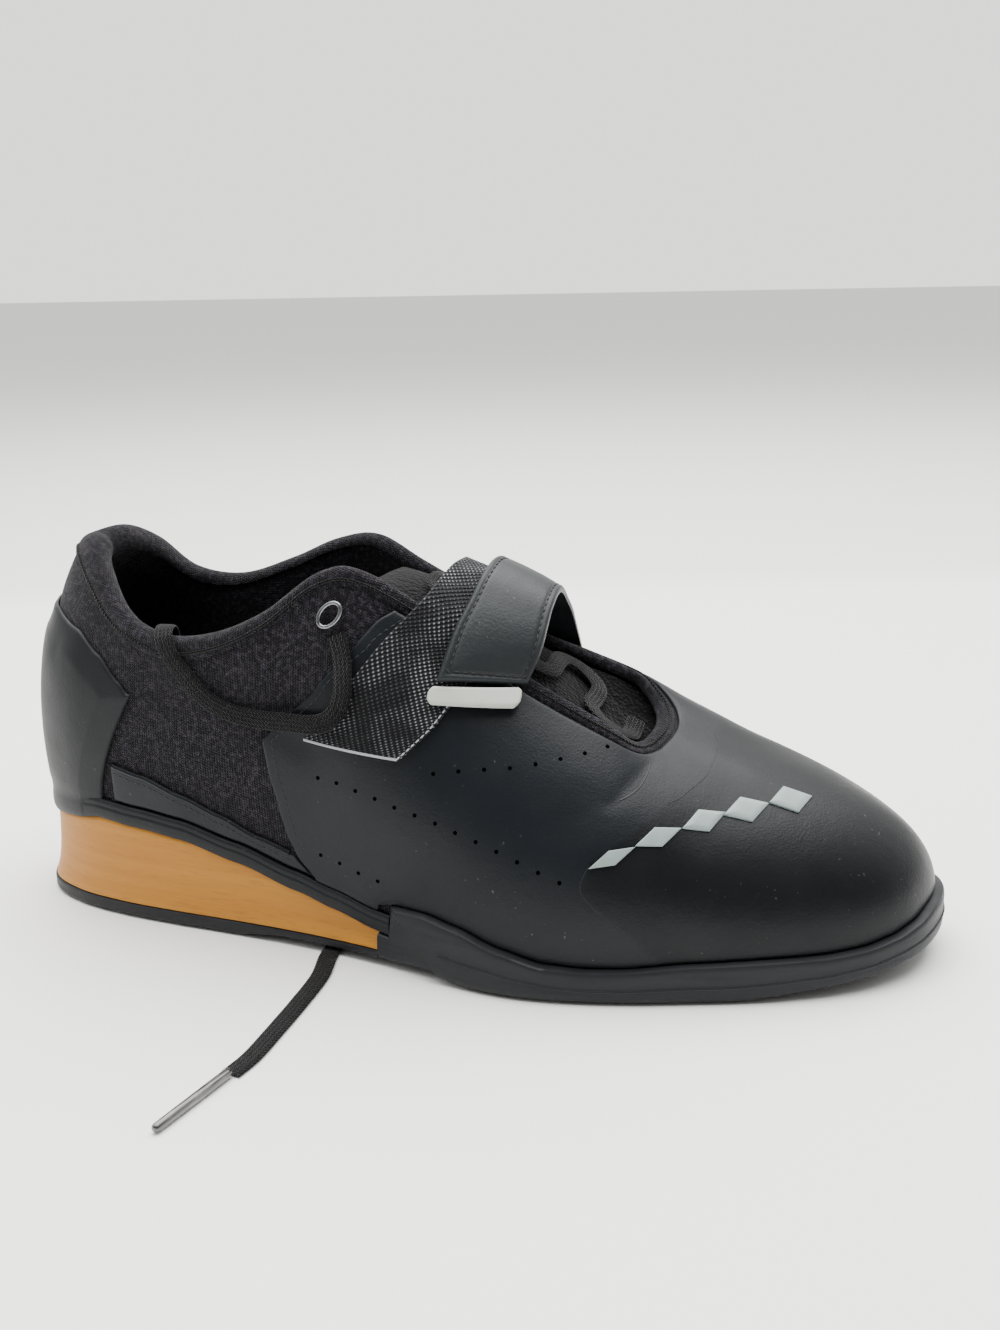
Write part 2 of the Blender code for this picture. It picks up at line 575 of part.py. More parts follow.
def upper_column(place):
    """Outer and inner points of the upper at one place, lower edge to the crown of its rolled edge."""
    bead_share = BEAD_WIDTH / height_of(place)
    body = [(1 - bead_share) * level for level in WALL_LEVELS]
    outer = [skin(place, share) for share in body]
    inner = [skin(place, share, -lining_depth(place, share)) for share in body]
    outer.append(skin(place, 1 - 0.85 * bead_share, BEAD))
    inner.append(skin(place, 1 - 0.85 * bead_share, -lining_depth(place, 1 - 0.85 * bead_share)))
    edge, normal = wall_point(place, 1), wall_normal(place, 1)
    rise = (wall_point(place, 1) - wall_point(place, 0.97)).normalized()
    radius = edge_width(place) / 2
    middle = edge + normal * (BEAD - radius)
    for angle in (0, 50, 80):
        turn = math.radians(angle)
        outer.append(middle + normal * (radius * math.cos(turn)) + rise * (radius * math.sin(turn)))
        inner.append(middle - normal * (radius * math.cos(turn)) + rise * (radius * math.sin(turn)))
    return outer, inner


def make_upper(group):
    """Hollow bootie: quarters, toe box and padded collar in one wall."""
    columns = [upper_column(place) for place in ring_places(half_places())]
    bm = shell([outer for outer, _ in columns], [inner for _, inner in columns], True)
    return finish("upper", bm, group, (0.018, 0.017, 0.020), 0.85)


def rim_point(place, z, offset):
    """Point past the upper's lower edge line, pushed out level by offset, at height z."""
    base = wall_point(place, 0)
    return Vector((base.x, base.y, 0)) + section(place).outward * offset + Vector((0, 0, z))


def hug_point(place, z, offset):
    """Point off the upper's outer face at height z, also below its lower edge."""
    if z <= wall_point(place, 0).z:
        return rim_point(place, z, offset)
    share = share_at(place, z)
    point, normal = wall_point(place, share), wall_normal(place, share)
    level = Vector((normal.x, normal.y, 0))
    return point + level.normalized() * (offset / max(level.length, 0.5))


def sole_half_places():
    """Outsole's columns: the upper's, with those of the wedge's front and the flange put in."""
    foot = place_at(LATERAL, WEDGE_FRONT - WEDGE_SLANT + END_GAP)
    head = place_at(LATERAL, WEDGE_FRONT + END_GAP)
    step = place_at(LATERAL, WEDGE_FRONT + 2 * END_GAP)
    lip = place_at(LATERAL, WEDGE_FRONT + 5 * END_GAP)
    near = [place for place in half_places() if not foot - 0.15 < place < lip + 0.15]
    return sorted(near + [foot, head, step, lip]), foot, head, step, lip


def make_outsole(group):
    """Rubber outsole: thin under the wedge, with a sidewall and flange round the forefoot."""
    half, foot, head, step, lip = sole_half_places()
    slant = FLANGE_SLANT / LENGTH * TOE * FLANGE_RUN
    outer, inner = [], []
    for place in ring_places(half):
        near = min(place, SECTIONS - place)
        x = wall_point(place, 0).x
        if near < foot + 0.001:
            floor = top = OUTSOLE_REAR
        elif near < head + 0.001:
            floor = top = wedge_top_z(x)
        else:
            floor, top = seat_z(x), sidewall_z(x)
        column = []
        bottom = bottom_z(x)
        for row, share in enumerate(SIDEWALL_LEVELS):
            z = bottom + OUTSOLE_EDGE * row if row < 2 else bottom + (top - bottom) * share
            z = min(z, top - SIDEWALL_STEP * (3 - row))
            shifted = near
            if near > step - 0.001:
                shifted = near + slant * (1 - share) * max(0.0, min(1.0, (TOE - 4 - near) / (TOE - 4 - step)))
            here = shifted if place <= TOE else SECTIONS - shifted
            reach = section(here).welt - (OUTSOLE_EDGE if row == 0 else 0.0)
            if near > lip - 0.001:
                reach += FLANGE_STEP * max(0.0, min(1.0, (TOE - 5 - near) / 3)) * (0.6 if row == 0 else 1.0)
            if row == 3:
                reach -= SIDEWALL_LIP
            column.append(rim_point(here, z, reach))
        outer.append(column)
        wall_foot = WALL + BED_STEP
        inner_column = []
        for row in range(4):
            z = floor + (top - floor) * row / 3
            if near > head + 0.001:
                inner_column.append(hug_point(place, z, CLEARANCE) if row else rim_point(place, z, CLEARANCE))
            elif near > foot + 0.001:
                inner_column.append(rim_point(place, z, CLEARANCE + row * (section(place).welt - BED_LIP) / 3))
            else:
                inner_column.append(rim_point(place, z, section(place).welt - BED_INSET - (3 - row) * wall_foot))
        inner.append(inner_column)
    return finish("outsole", shell(outer, inner, True, floors=True), group, (0.022, 0.022, 0.024), 0.6)


def rear_places(front_x):
    """Upper's columns round the heel, from the inner side's front end to the outer side's."""
    front = place_at(LATERAL, front_x)
    half = [place for place in half_places() if place < front - COLUMN_GAP] + [front]
    return [SECTIONS - place for place in reversed(half[1:])] + half


def make_heel_wedge(group):
    """Wood-look heel block: its sides flare to the outsole and its front slants."""
    outer, inner = [], []
    places = rear_places(WEDGE_FRONT)
    front = min(places[-1], SECTIONS - places[-1])
    foot_front = place_at(LATERAL, WEDGE_FRONT - WEDGE_SLANT)
    for place in places:
        near = min(place, SECTIONS - place)
        column = []
        x_top = wall_point(place, 0).x
        high = wedge_top_z(x_top)
        low = OUTSOLE_REAR + CLEARANCE
        for depth, flare in reversed(WEDGE_FLARE):
            here = near - (front - foot_front) * depth * max(0.0, 1 - (front - near) / 1.0)
            spot = here if place <= TOE else SECTIONS - here
            welt = section(spot).welt - SIDEWALL_LIP
            reach = WEDGE_TOP_INSET + (welt - WEDGE_TOP_INSET) * flare
            column.append(rim_point(spot, high + (low - high) * depth, reach))
        outer.append(column)
    bm = bmesh.new()
    grid = [[bm.verts.new(to_origin(point)) for point in column] for column in outer]
    for here, there in zip(grid, grid[1:]):
        for j in range(len(here) - 1):
            face(bm, here[j], there[j], there[j + 1], here[j + 1])
    half = len(grid) // 2
    outer_side, inner_side = grid[half:], grid[half::-1]
    for a, b, c, d in zip(outer_side, outer_side[1:], inner_side[1:], inner_side):
        face(bm, d[0], c[0], b[0], a[0])
        face(bm, a[-1], b[-1], c[-1], d[-1])
    for j in range(len(grid[0]) - 1):
        face(bm, grid[-1][j], grid[0][j], grid[0][j + 1], grid[-1][j + 1])
    return finish("heel_wedge", bm, group, (0.62, 0.36, 0.17), 0.55)


def make_heel_cup(group):
    """Moulded heel cup: plate on the wedge, rail along both sides and counter round the heel."""
    places = rear_places(WEDGE_FRONT)
    half = len(places) // 2
    counter_front = place_at(LATERAL, COUNTER_FRONT)
    inner_half = [place for place in places[half:] if place < counter_front - COLUMN_GAP]
    rest = [place for place in places[half:] if place > counter_front + COLUMN_GAP]
    side = inner_half + [counter_front, counter_front + COLUMN_GAP / 2] + rest
    last_counter = len(inner_half)
    ring = [(index, SECTIONS - place) for index, place in reversed(list(enumerate(side))[1:])]
    ring += list(enumerate(side))
    reach = COUNTER_REACH / RAIL_RUN
    outer, inner = [], []
    for index, place in ring:
        near = min(place, SECTIONS - place)
        x = wall_point(place, 0).x
        low, high = wedge_top_z(x) + CLEARANCE, rail_z(x)
        out_column = [
            rim_point(place, low, WEDGE_TOP_INSET + CUP_SWELL),
            hug_point(place, low + (high - low) * RAIL_LEVELS[0], CLEARANCE + CUP_WALL + 2 * CUP_SWELL),
            hug_point(place, low + (high - low) * RAIL_LEVELS[1], CLEARANCE + CUP_WALL + CUP_SWELL),
            hug_point(place, high, CLEARANCE + (CUP_WALL if index <= last_counter else CUP_EDGE)),
        ]
        seat = seat_z(x)
        in_column = [rim_point(place, seat, CLEARANCE)]
        in_column += [hug_point(place, seat + (high - seat) * row / 3, CLEARANCE) for row in (1, 2, 3)]
        if index <= last_counter:
            lean = reach * (index / last_counter) ** COUNTER_SPREAD
            for row in range(1, COUNTER_ROWS + 1):
                share = row / COUNTER_ROWS
                bend = share**COUNTER_BEND
                leaned = near + lean * bend
                spot = leaned if place <= TOE else SECTIONS - leaned
                top_place = near + lean
                top_spot = top_place if place <= TOE else SECTIONS - top_place
                top_x = wall_point(top_spot, 0.7).x
                top = COLLAR_HEIGHT * table_at(COUNTER_TOP, top_x / LENGTH)
                z = high + (top - high) * share
                edge = CUP_EDGE if row == COUNTER_ROWS or index == last_counter else CUP_WALL
                out_column.append(skin(spot, share_at(spot, z), COUNTER_CLEARANCE + edge))
                in_column.append(skin(spot, share_at(spot, z), COUNTER_CLEARANCE))
        else:
            out_column += [out_column[-1]] * COUNTER_ROWS
            in_column += [in_column[-1]] * COUNTER_ROWS
        outer.append(out_column)
        inner.append(in_column)
    middle = len(ring) // 2

    def present(k, j):
        return j < RAIL_ROWS or middle - last_counter <= k < middle + last_counter

    bm = shell(outer, inner, False, floors=True, present=present)
    bmesh.ops.delete(bm, geom=[vert for vert in bm.verts if not vert.link_faces], context="VERTS")
    return finish("heel_cup", bm, group, (0.030, 0.030, 0.033), 0.42)


def make_insole(group):
    """Sock liner on the seat, inside the upper's lower edge."""
    outer, inner = [], []
    for place in ring_places(half_places()):
        x = wall_point(place, 0).x
        seat = seat_z(x) + CLEARANCE
        inside = -(WALL + 2 * CLEARANCE)
        top = seat + INSOLE
        outer.append([rim_point(place, seat, inside - INSOLE_INSET), rim_point(place, top, inside)])
        inner.append([rim_point(place, top, inside - INSOLE_DISH), rim_point(place, top, inside - INSOLE_RIM)])
    bm = shell(outer, inner, True, floors=True)
    return finish("insole", bm, group, (0.03, 0.03, 0.033), 0.9)


def vamp_edge_place(side, z):
    """Place of the vamp's rear edge at height z on one side."""
    x = LENGTH * table_at(VAMP_EDGE, z / COLLAR_HEIGHT)
    return place_on(side, x, z)[0]


def overlay_foot_z(x):
    """Height above which an overlay shows: the rail or the outsole's sidewall, whichever is higher."""
    rail = rail_z(x) if x < WEDGE_FRONT + 0.004 else 0.0
    wall = sidewall_z(x) if x > WEDGE_FRONT - 0.004 else 0.0
    return max(rail, wall) + 2 * CLEARANCE


def vamp_share(place, row):
    """Share of the wall's height of one row of the vamp: the upper's rows, cut off at the foot and the edge."""
    binding = (BEAD_WIDTH + BINDING_GAP) / height_of(place)
    if row == 0:
        return share_at(place, overlay_foot_z(wall_point(place, 0).x))
    if row == len(WALL_LEVELS) - 1:
        return 1 - binding
    return (1 - BEAD_WIDTH / height_of(place)) * WALL_LEVELS[row]


def make_vamp(group):
    """Synthetic leather overlay: eyestays, sides and toe, a step above the knit."""
    front = VAMP_FRONT
    middle = [place for place in half_places() if place > front]
    middle += [SECTIONS - place for place in reversed(middle[:-1])]
    outer, inner = [], []
    blends = [blend / VAMP_BLENDS for blend in range(VAMP_BLENDS + 1)]
    steps = [(LATERAL, blend) for blend in blends]
    steps += [(0, place) for place in middle]
    steps += [(MEDIAL, blend) for blend in reversed(blends)]
    for side, value in steps:
        out_column, in_column = [], []
        for row in range(len(WALL_LEVELS)):
            end = front if side == LATERAL else SECTIONS - front
            spot = end if side else value
            share = vamp_share(spot, row)
            gap = CLEARANCE
            if side:
                for _ in range(4):
                    edge = vamp_edge_place(side, wall_point(spot, share).z)
                    spot = edge + (end - edge) * value
                    share = vamp_share(spot, row)
                gap += BLEND_CLEARANCE * (1 - value**4)
            out_column.append(skin(spot, share, gap + OVERLAY))
            in_column.append(skin(spot, share, gap))
        outer.append(out_column)
        inner.append(in_column)
    return finish("vamp", shell(outer, inner, False), group, (0.020, 0.020, 0.022), 0.55)


def make_rand(name, side, group):
    """Low strip on a quarter, between the rail and its piped upper edge, up to the vamp."""
    outer, inner = [], []
    for column in range(RAND_COLUMNS + 1):
        out_column, in_column = [], []
        for row in range(3):
            x = LENGTH * RAND_REAR
            for _ in range(3):
                low = rail_z(x) + 2 * CLEARANCE
                high = COLLAR_HEIGHT * table_at(RAND_TOP, x / LENGTH)
                z = low + (high - low) * row / 2
                front = LENGTH * table_at(VAMP_EDGE, z / COLLAR_HEIGHT) - BINDING_GAP
                x = LENGTH * RAND_REAR + (front - LENGTH * RAND_REAR) * column / RAND_COLUMNS
            place, share = place_on(side, x, z)
            out_column.append(skin(place, share, CLEARANCE + OVERLAY))
            in_column.append(skin(place, share, CLEARANCE))
        outer.append(out_column)
        inner.append(in_column)
    if side == MEDIAL:
        outer.reverse()
        inner.reverse()
    return finish(name, shell(outer, inner, False), group, (0.020, 0.020, 0.022), 0.5)


def tongue_section(x, z, depth):
    """Points across the tongue at x, depth below its upper face, from the outer side's edge to the inner's."""
    sides = {}
    for side in (LATERAL, MEDIAL):
        place = place_at(side, x, 1.0)
        height = height_of(place)
        inside = WALL + BEAD + COLLAR_PAD * max(0.0, section(place).pad) + 2 * CLEARANCE
        edge = skin(place, 1.0, -inside - depth)
        under = skin(place, 1 - TONGUE_OVERLAP / height, -inside - TONGUE_EDGE_DROP - depth * 0.7)
        sides[side] = (under, edge)
    middle = Vector((x, 0, z - depth))
    points = [sides[LATERAL][0], sides[LATERAL][1]]
    for share in (0.45, 1.0, 0.45):
        edge = sides[LATERAL if len(points) < 3 else MEDIAL][1]
        lift = 1 - (1 - share) ** 2
        points.append(Vector((x, edge.y * (1 - share), edge.z + (middle.z - edge.z) * lift)))
    return points + [sides[MEDIAL][1], sides[MEDIAL][0]]


def make_tongue(group):
    """Padded tongue under the edges of the throat."""
    upper_face, lower_face = [], []
    for x_share, z_share in TONGUE_LINE:
        x, z = x_share * LENGTH, z_share * COLLAR_HEIGHT
        upper_face.append(tongue_section(x, z, 0.0))
        lower_face.append(tongue_section(x, z, TONGUE_THICKNESS))
    bm = shell(upper_face, lower_face, False)
    return finish("tongue", bm, group, (0.035, 0.035, 0.038), 0.9)


def bed_rows(table, across):
    """Points of the bed at each row of the table, across it from the rear edge to the front edge."""
    rows = []
    for row in table:
        rear = Vector((row.rear_x * LENGTH, row.rear_y * BALL_WIDTH, row.rear_z * COLLAR_HEIGHT))
        front = Vector((row.front_x * LENGTH, row.front_y * BALL_WIDTH, row.front_z * COLLAR_HEIGHT))
        rows.append([rear.lerp(front, share) for share in across])
    return rows


def webbing_shell(rows, lifts, thickness):
    """Strip of one thickness over rows of bed points, each row lifted off its bed."""
    outer, inner = [], []
    for i in range(len(rows[0])):
        out_column, in_column = [], []
        for j, row in enumerate(rows):
            across = row[min(i + 1, len(row) - 1)] - row[max(i - 1, 0)]
            along = rows[min(j + 1, len(rows) - 1)][i] - rows[max(j - 1, 0)][i]
            normal = across.cross(along).normalized()
            out_column.append(row[i] + normal * (lifts[j] + thickness))
            in_column.append(row[i] + normal * lifts[j])
        outer.append(out_column)
        inner.append(in_column)
    return shell(outer, inner, False)


def make_band(group):
    """Woven band from the outer side of the vamp to the instep, under the strap."""
    across = (0.0, 0.5, 1.0)
    rows = []
    for rear_x, rear_z, front_x, front_z in BAND_SIDE:
        row = []
        for share in across:
            x = LENGTH * (rear_x + (front_x - rear_x) * share)
            z = COLLAR_HEIGHT * (rear_z + (front_z - rear_z) * share)
            row.append(wall_point(*place_on(LATERAL, x, z)))
        rows.append(row)
    rows += bed_rows(BAND_ARCH, across)
    lift = OVERLAY + 3 * CLEARANCE + BLEND_CLEARANCE
    bm = webbing_shell(rows, [lift] * len(rows), BAND_THICKNESS)
    return finish("loop_band", bm, group, (0.05, 0.05, 0.055), 0.8)


def strap_lift():
    """Height of the strap's under face above its bed where the band lies below it."""
    return OVERLAY + BAND_THICKNESS + 4 * CLEARANCE + BLEND_CLEARANCE


def make_strap(group):
    """Instep strap from the inner side's sole, over the throat, to its tip on the outer side."""
    across = (0.0, 0.5, 1.0)
    rows = bed_rows(STRAP_ARCH, across)
    lifts = [strap_lift()] * len(rows)
    foot = []
    for rear_x, front_x, height in STRAP_DOWN:
        row = []
        for share in across:
            x = LENGTH * (rear_x + (front_x - rear_x) * share)
            throat = wall_point(place_at(MEDIAL, x, 1.0), 1.0).z
            low = overlay_foot_z(x)
            row.append(wall_point(*place_on(MEDIAL, x, low + (throat - low) * height)))
        foot.append(row)
        lifts.append(OVERLAY + 2 * CLEARANCE + BLEND_CLEARANCE + BAND_THICKNESS * height)
    bm = webbing_shell(rows + foot, lifts, STRAP_THICKNESS)
    return finish("strap", bm, group, (0.025, 0.025, 0.027), 0.45)


def make_tab(group):
    """Plain bar along the strap's tip."""
    (rear_x, rear_z), (front_x, front_z) = TAB_ENDS
    outer, inner = [], []
    for share, fullness in TAB_PROFILE:
        x = LENGTH * (rear_x + (front_x - rear_x) * share)
        middle = COLLAR_HEIGHT * (rear_z + (front_z - rear_z) * share)
        out_column, in_column = [], []
        for side in (-1, 0, 1):
            place, height = place_on(LATERAL, x, middle + side * fullness * TAB_WIDTH / 2)
            out_column.append(skin(place, height, strap_lift() + TAB_THICKNESS))
            in_column.append(skin(place, height, strap_lift()))
        outer.append(out_column)
        inner.append(in_column)
    return finish("strap_tab", shell(outer, inner, False), group, (0.66, 0.65, 0.62), 0.35)


def make_ring(name, side, group):
    """Wire ring that carries the lace at an ear of the upper."""
    x, z = RING_PLACES[side]
    place, share = place_on(side, x * LENGTH, z * COLLAR_HEIGHT)
    normal = wall_normal(place, share)
    level = Vector((0, 0, 1)).cross(normal).normalized()
    level *= math.copysign(1, level.x)
    rise = Vector((0, 0, 1)) - normal * normal.z
    rise.normalize()
    tilt = math.radians(RING_TILT)
    long_way = level * math.cos(tilt) + rise * math.sin(tilt)
    short_way = rise * math.cos(tilt) - level * math.sin(tilt)
    middle = skin(place, share, RING_WIRE / 2 + 2 * CLEARANCE)
    curve = bpy.data.curves.new(name, "CURVE")
    curve.dimensions = "3D"
    curve.bevel_depth = RING_WIRE / 2
    curve.bevel_resolution = 1
    spline = curve.splines.new("POLY")
    corners = 14
    spline.points.add(corners - 1)
    for corner, point in enumerate(spline.points):
        turn = math.tau * corner / corners
        spot = middle + long_way * ((RING_LENGTH - RING_WIRE) / 2 * math.cos(turn))
        spot += short_way * ((RING_WIDTH - RING_WIRE) / 2 * math.sin(turn))
        point.co = (*to_origin(spot), 1)
    spline.use_cyclic_u = True
    obj = bpy.data.objects.new(name, curve)
    group.objects.link(obj)
    dress(obj, (0.62, 0.62, 0.64), 0.25, 1.0)
    return obj


def tongue_top(x, y):
    """Height of the tongue's upper face."""
    points = tongue_section(x, tongue_middle_z(x), 0.0)[1:-1]
    for here, there in zip(points, points[1:]):
        if y <= there.y:
            return here.z + (there.z - here.z) * (y - here.y) / (there.y - here.y)
    return points[-1].z


def tongue_middle_z(x):
    """Height of the middle of the tongue, straight between the rows of its table."""
    share = x / LENGTH
    for (x0, z0), (x1, z1) in zip(TONGUE_LINE, TONGUE_LINE[1:]):
        if share <= x1:
            return COLLAR_HEIGHT * (z0 + (z1 - z0) * (share - x0) / (x1 - x0))
    return COLLAR_HEIGHT * TONGUE_LINE[-1][1]


def ribbon(name, points, facings, group):
    """Flat lace along points, its flat side turned to the facings."""
    half_width, half_thickness = LACE_WIDTH / 2, LACE_THICKNESS / 2
    profile = ((-1, 0), (-0.8, 1), (0.8, 1), (1, 0), (0.8, -1), (-0.8, -1))
    bm = bmesh.new()
    loops = []
    for index, point in enumerate(points):
        along = (points[min(index + 1, len(points) - 1)] - points[max(index - 1, 0)]).normalized()
        facing = (facings[index] - along * facings[index].dot(along)).normalized()
        side = along.cross(facing)
        corners = [point + side * (half_width * u) + facing * (half_thickness * v) for u, v in profile]
        loops.append([bm.verts.new(corner) for corner in corners])
    for here, there in zip(loops, loops[1:]):
        for i in range(len(profile)):
            face(bm, here[i - 1], here[i], there[i], there[i - 1])
    face(bm, *loops[0][::-1])
    face(bm, *loops[-1])
    if bm.calc_volume(signed=True) < 0:
        bmesh.ops.reverse_faces(bm, faces=bm.faces)
    return finish(name, bm, group, (0.02, 0.02, 0.022), 0.9)


def make_lace_rows(group):
    """Lace rows over the tongue: one lace that turns at each edge of the throat."""
    points, facings = [], []
    for row in range(LACE_ROWS):
        way = 1 if row % 2 else -1
        turns = LACE_TURN if row < LACE_ROWS - 1 else LACE_TURN[:3]
        for forward, aside in turns:
            x = LACE_ROWS_BACK * LENGTH + (row + forward) * LACE_PITCH
            y = way * aside * LACE_REACH
            step = LACE_WIDTH / 2
            slope_x = (tongue_top(x + step, y) - tongue_top(x - step, y)) / (2 * step)
            slope_y = (tongue_top(x, y + step) - tongue_top(x, y - step)) / (2 * step)
            facing = Vector((-slope_x, -slope_y, 1)).normalized()
            spot = Vector((x, y, tongue_top(x, y))) + facing * (LACE_THICKNESS / 2 + 3 * CLEARANCE)
            points.append(Vector(to_origin(spot)))
            facings.append(facing)
    return ribbon("lace_rows", points, facings, group)


def make_lace_end(name, route, samples, group):
    """Free lace end along its route."""
    points, facings = [], []
    for sample in range(samples):
        x, y, z, angle = curve_through(route, (len(route) - 1) * sample / (samples - 1), False)
        points.append(Vector((x, y, z)))
        turn = math.radians(angle)
        facings.append(Vector((0, -math.cos(turn), math.sin(turn))))
    return ribbon(name, points, facings, group)


def make_aglet(name, route, group):
    """Stiff tip that goes straight on from the end of a lace."""
    end, before = Vector(route[-1][:3]), Vector(route[-2][:3])
    along = (end - before).normalized()
    radius = AGLET_DIAMETER / 2
    middle = end + along * (CLEARANCE + AGLET_LENGTH / 2) + Vector((0, 0, radius - LACE_THICKNESS / 2))
    turn = along.to_track_quat("Z", "Y").to_matrix().to_4x4()
    bm = bmesh.new()
    bmesh.ops.create_cone(
        bm, cap_ends=True, segments=10, radius1=radius, radius2=radius,
        depth=AGLET_LENGTH, matrix=Matrix.Translation(middle) @ turn,
    )
    return finish(name, bm, group, (0.10, 0.10, 0.10), 0.2)


def main():
    """Build the shoe."""
    clear_scene()
    shoe = collection("weightlifting_shoe")
    make_upper(shoe)
    make_outsole(shoe)
    make_heel_wedge(shoe)
    make_heel_cup(shoe)
    make_insole(shoe)
    make_vamp(shoe)
    make_tongue(shoe)
    make_rand("rand_lateral", LATERAL, shoe)
    make_rand("rand_medial", MEDIAL, shoe)
    make_band(shoe)
    make_strap(shoe)
    make_tab(shoe)
    make_ring("lace_ring_lateral", LATERAL, shoe)
    make_ring("lace_ring_medial", MEDIAL, shoe)
    make_lace_rows(shoe)
    make_lace_end("lace_end_lateral", LACE_END_LATERAL, 50, shoe)
    make_aglet("aglet_lateral", LACE_END_LATERAL, shoe)
    make_lace_end("lace_end_medial", LACE_END_MEDIAL, 42, shoe)
    make_aglet("aglet_medial", LACE_END_MEDIAL, shoe)


main()
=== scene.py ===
"""Looks of the weightlifting shoe: every surface's finish, its seams and stitches, and its laces.

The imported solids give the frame. Each class below rebuilds one sub-assembly of the shoe at full fineness
from the same sizes as the solids, dresses it, and says which solid it stands for. Metres throughout:
+X from heel to toe, +Y to the inner side of the foot, +Z up, origin on the floor under the heel seat.
"""

import logging
import math
from dataclasses import dataclass, field
from enum import Enum
from typing import Any, Iterable, Optional, Sequence

import bmesh
import bpy
import numpy as np
from mathutils import Matrix, Vector

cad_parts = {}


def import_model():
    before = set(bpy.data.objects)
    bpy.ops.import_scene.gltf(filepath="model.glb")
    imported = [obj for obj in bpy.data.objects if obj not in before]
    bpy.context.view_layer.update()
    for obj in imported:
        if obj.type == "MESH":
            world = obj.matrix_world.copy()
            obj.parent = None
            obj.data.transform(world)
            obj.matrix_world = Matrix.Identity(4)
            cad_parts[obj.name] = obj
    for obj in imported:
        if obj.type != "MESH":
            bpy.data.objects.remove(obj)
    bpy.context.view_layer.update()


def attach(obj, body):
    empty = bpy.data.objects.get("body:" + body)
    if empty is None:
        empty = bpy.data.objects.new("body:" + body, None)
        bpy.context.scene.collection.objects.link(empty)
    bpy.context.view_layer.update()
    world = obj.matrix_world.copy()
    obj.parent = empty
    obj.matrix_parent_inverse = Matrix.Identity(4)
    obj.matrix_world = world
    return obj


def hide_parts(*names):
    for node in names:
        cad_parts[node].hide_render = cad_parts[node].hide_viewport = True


Tree, Node, Socket = bpy.types.NodeTree, bpy.types.Node, bpy.types.NodeSocket
Piece, Material, Array = bpy.types.Object, bpy.types.Material, np.ndarray

LOG = logging.getLogger("shoe")
MM = 0.001
HEEL_SEAT = 0.040  # heel back to the origin


class Side(Enum):
    """The two sides of the shoe, with the sign of Y there."""

    LATERAL = -1
    MEDIAL = 1


def srgb(code: str) -> tuple[float, float, float, float]:
    """Linear colour of an sRGB hex value.

    Args:
        code: Six hex digits, with or without a leading hash.

    Returns:
        Linear red, green, blue and an alpha of 1.
    """
    digits = code.lstrip("#")
    parts = [int(digits[i : i + 2], 16) / 255 for i in (0, 2, 4)]
    linear = [part / 12.92 if part <= 0.04045 else ((part + 0.055) / 1.055) ** 2.4 for part in parts]
    return (linear[0], linear[1], linear[2], 1.0)


def add(tree: Tree, kind: str, settings: dict[str, Any], links: dict[Any, Any]) -> Node:
    """Add a node with its settings and its inputs.

    Args:
        tree: Node tree that gets the node.
        kind: Blender's name for the kind of node.
        settings: Properties of the node.
        links: Input name or number, to a value or to the output socket that feeds it.

    Returns:
        The new node.
    """
    node = tree.nodes.new(kind)
    for name, value in settings.items():
        setattr(node, name, value)
    for name, value in links.items():
        if isinstance(value, Socket):
            tree.links.new(value, node.inputs[name])
        else:
            node.inputs[name].default_value = value
    return node


# The shoe's wall and its sizes


@dataclass(frozen=True)
class Sizes:
    """Driving sizes of the shoe, the same as the solids'."""

    length: float = 0.305
    ball_width: float = 0.109
    collar_height: float = 0.119
    forefoot_seat: float = 0.008
    heel_rise: float = 0.0283
    toe_spring: float = 0.008
    arch_lift: float = 0.0019
    outsole_rear: float = 0.005
    sidewall_height: float = 0.0215
    flange_step: float = 0.0018
    flange_slant: float = 0.011
    wedge_front: float = 0.1435
    wedge_slant: float = 0.0045
    wedge_back_dip: float = 0.0048
    wedge_top_inset: float = 0.0014
    plate: float = 0.002
    rail_height: float = 0.0066
    cup_wall: float = 0.002
    cup_edge: float = 0.0009
    counter_front: float = 0.038
    counter_reach: float = 0.0135
    wall: float = 0.0024
    collar_pad: float = 0.0075
    pad_depth: float = 0.034
    bead: float = 0.0007
    bead_width: float = 0.0038
    overlay: float = 0.0009
    insole: float = 0.003
    clearance: float = 0.0003


SIZES = Sizes()

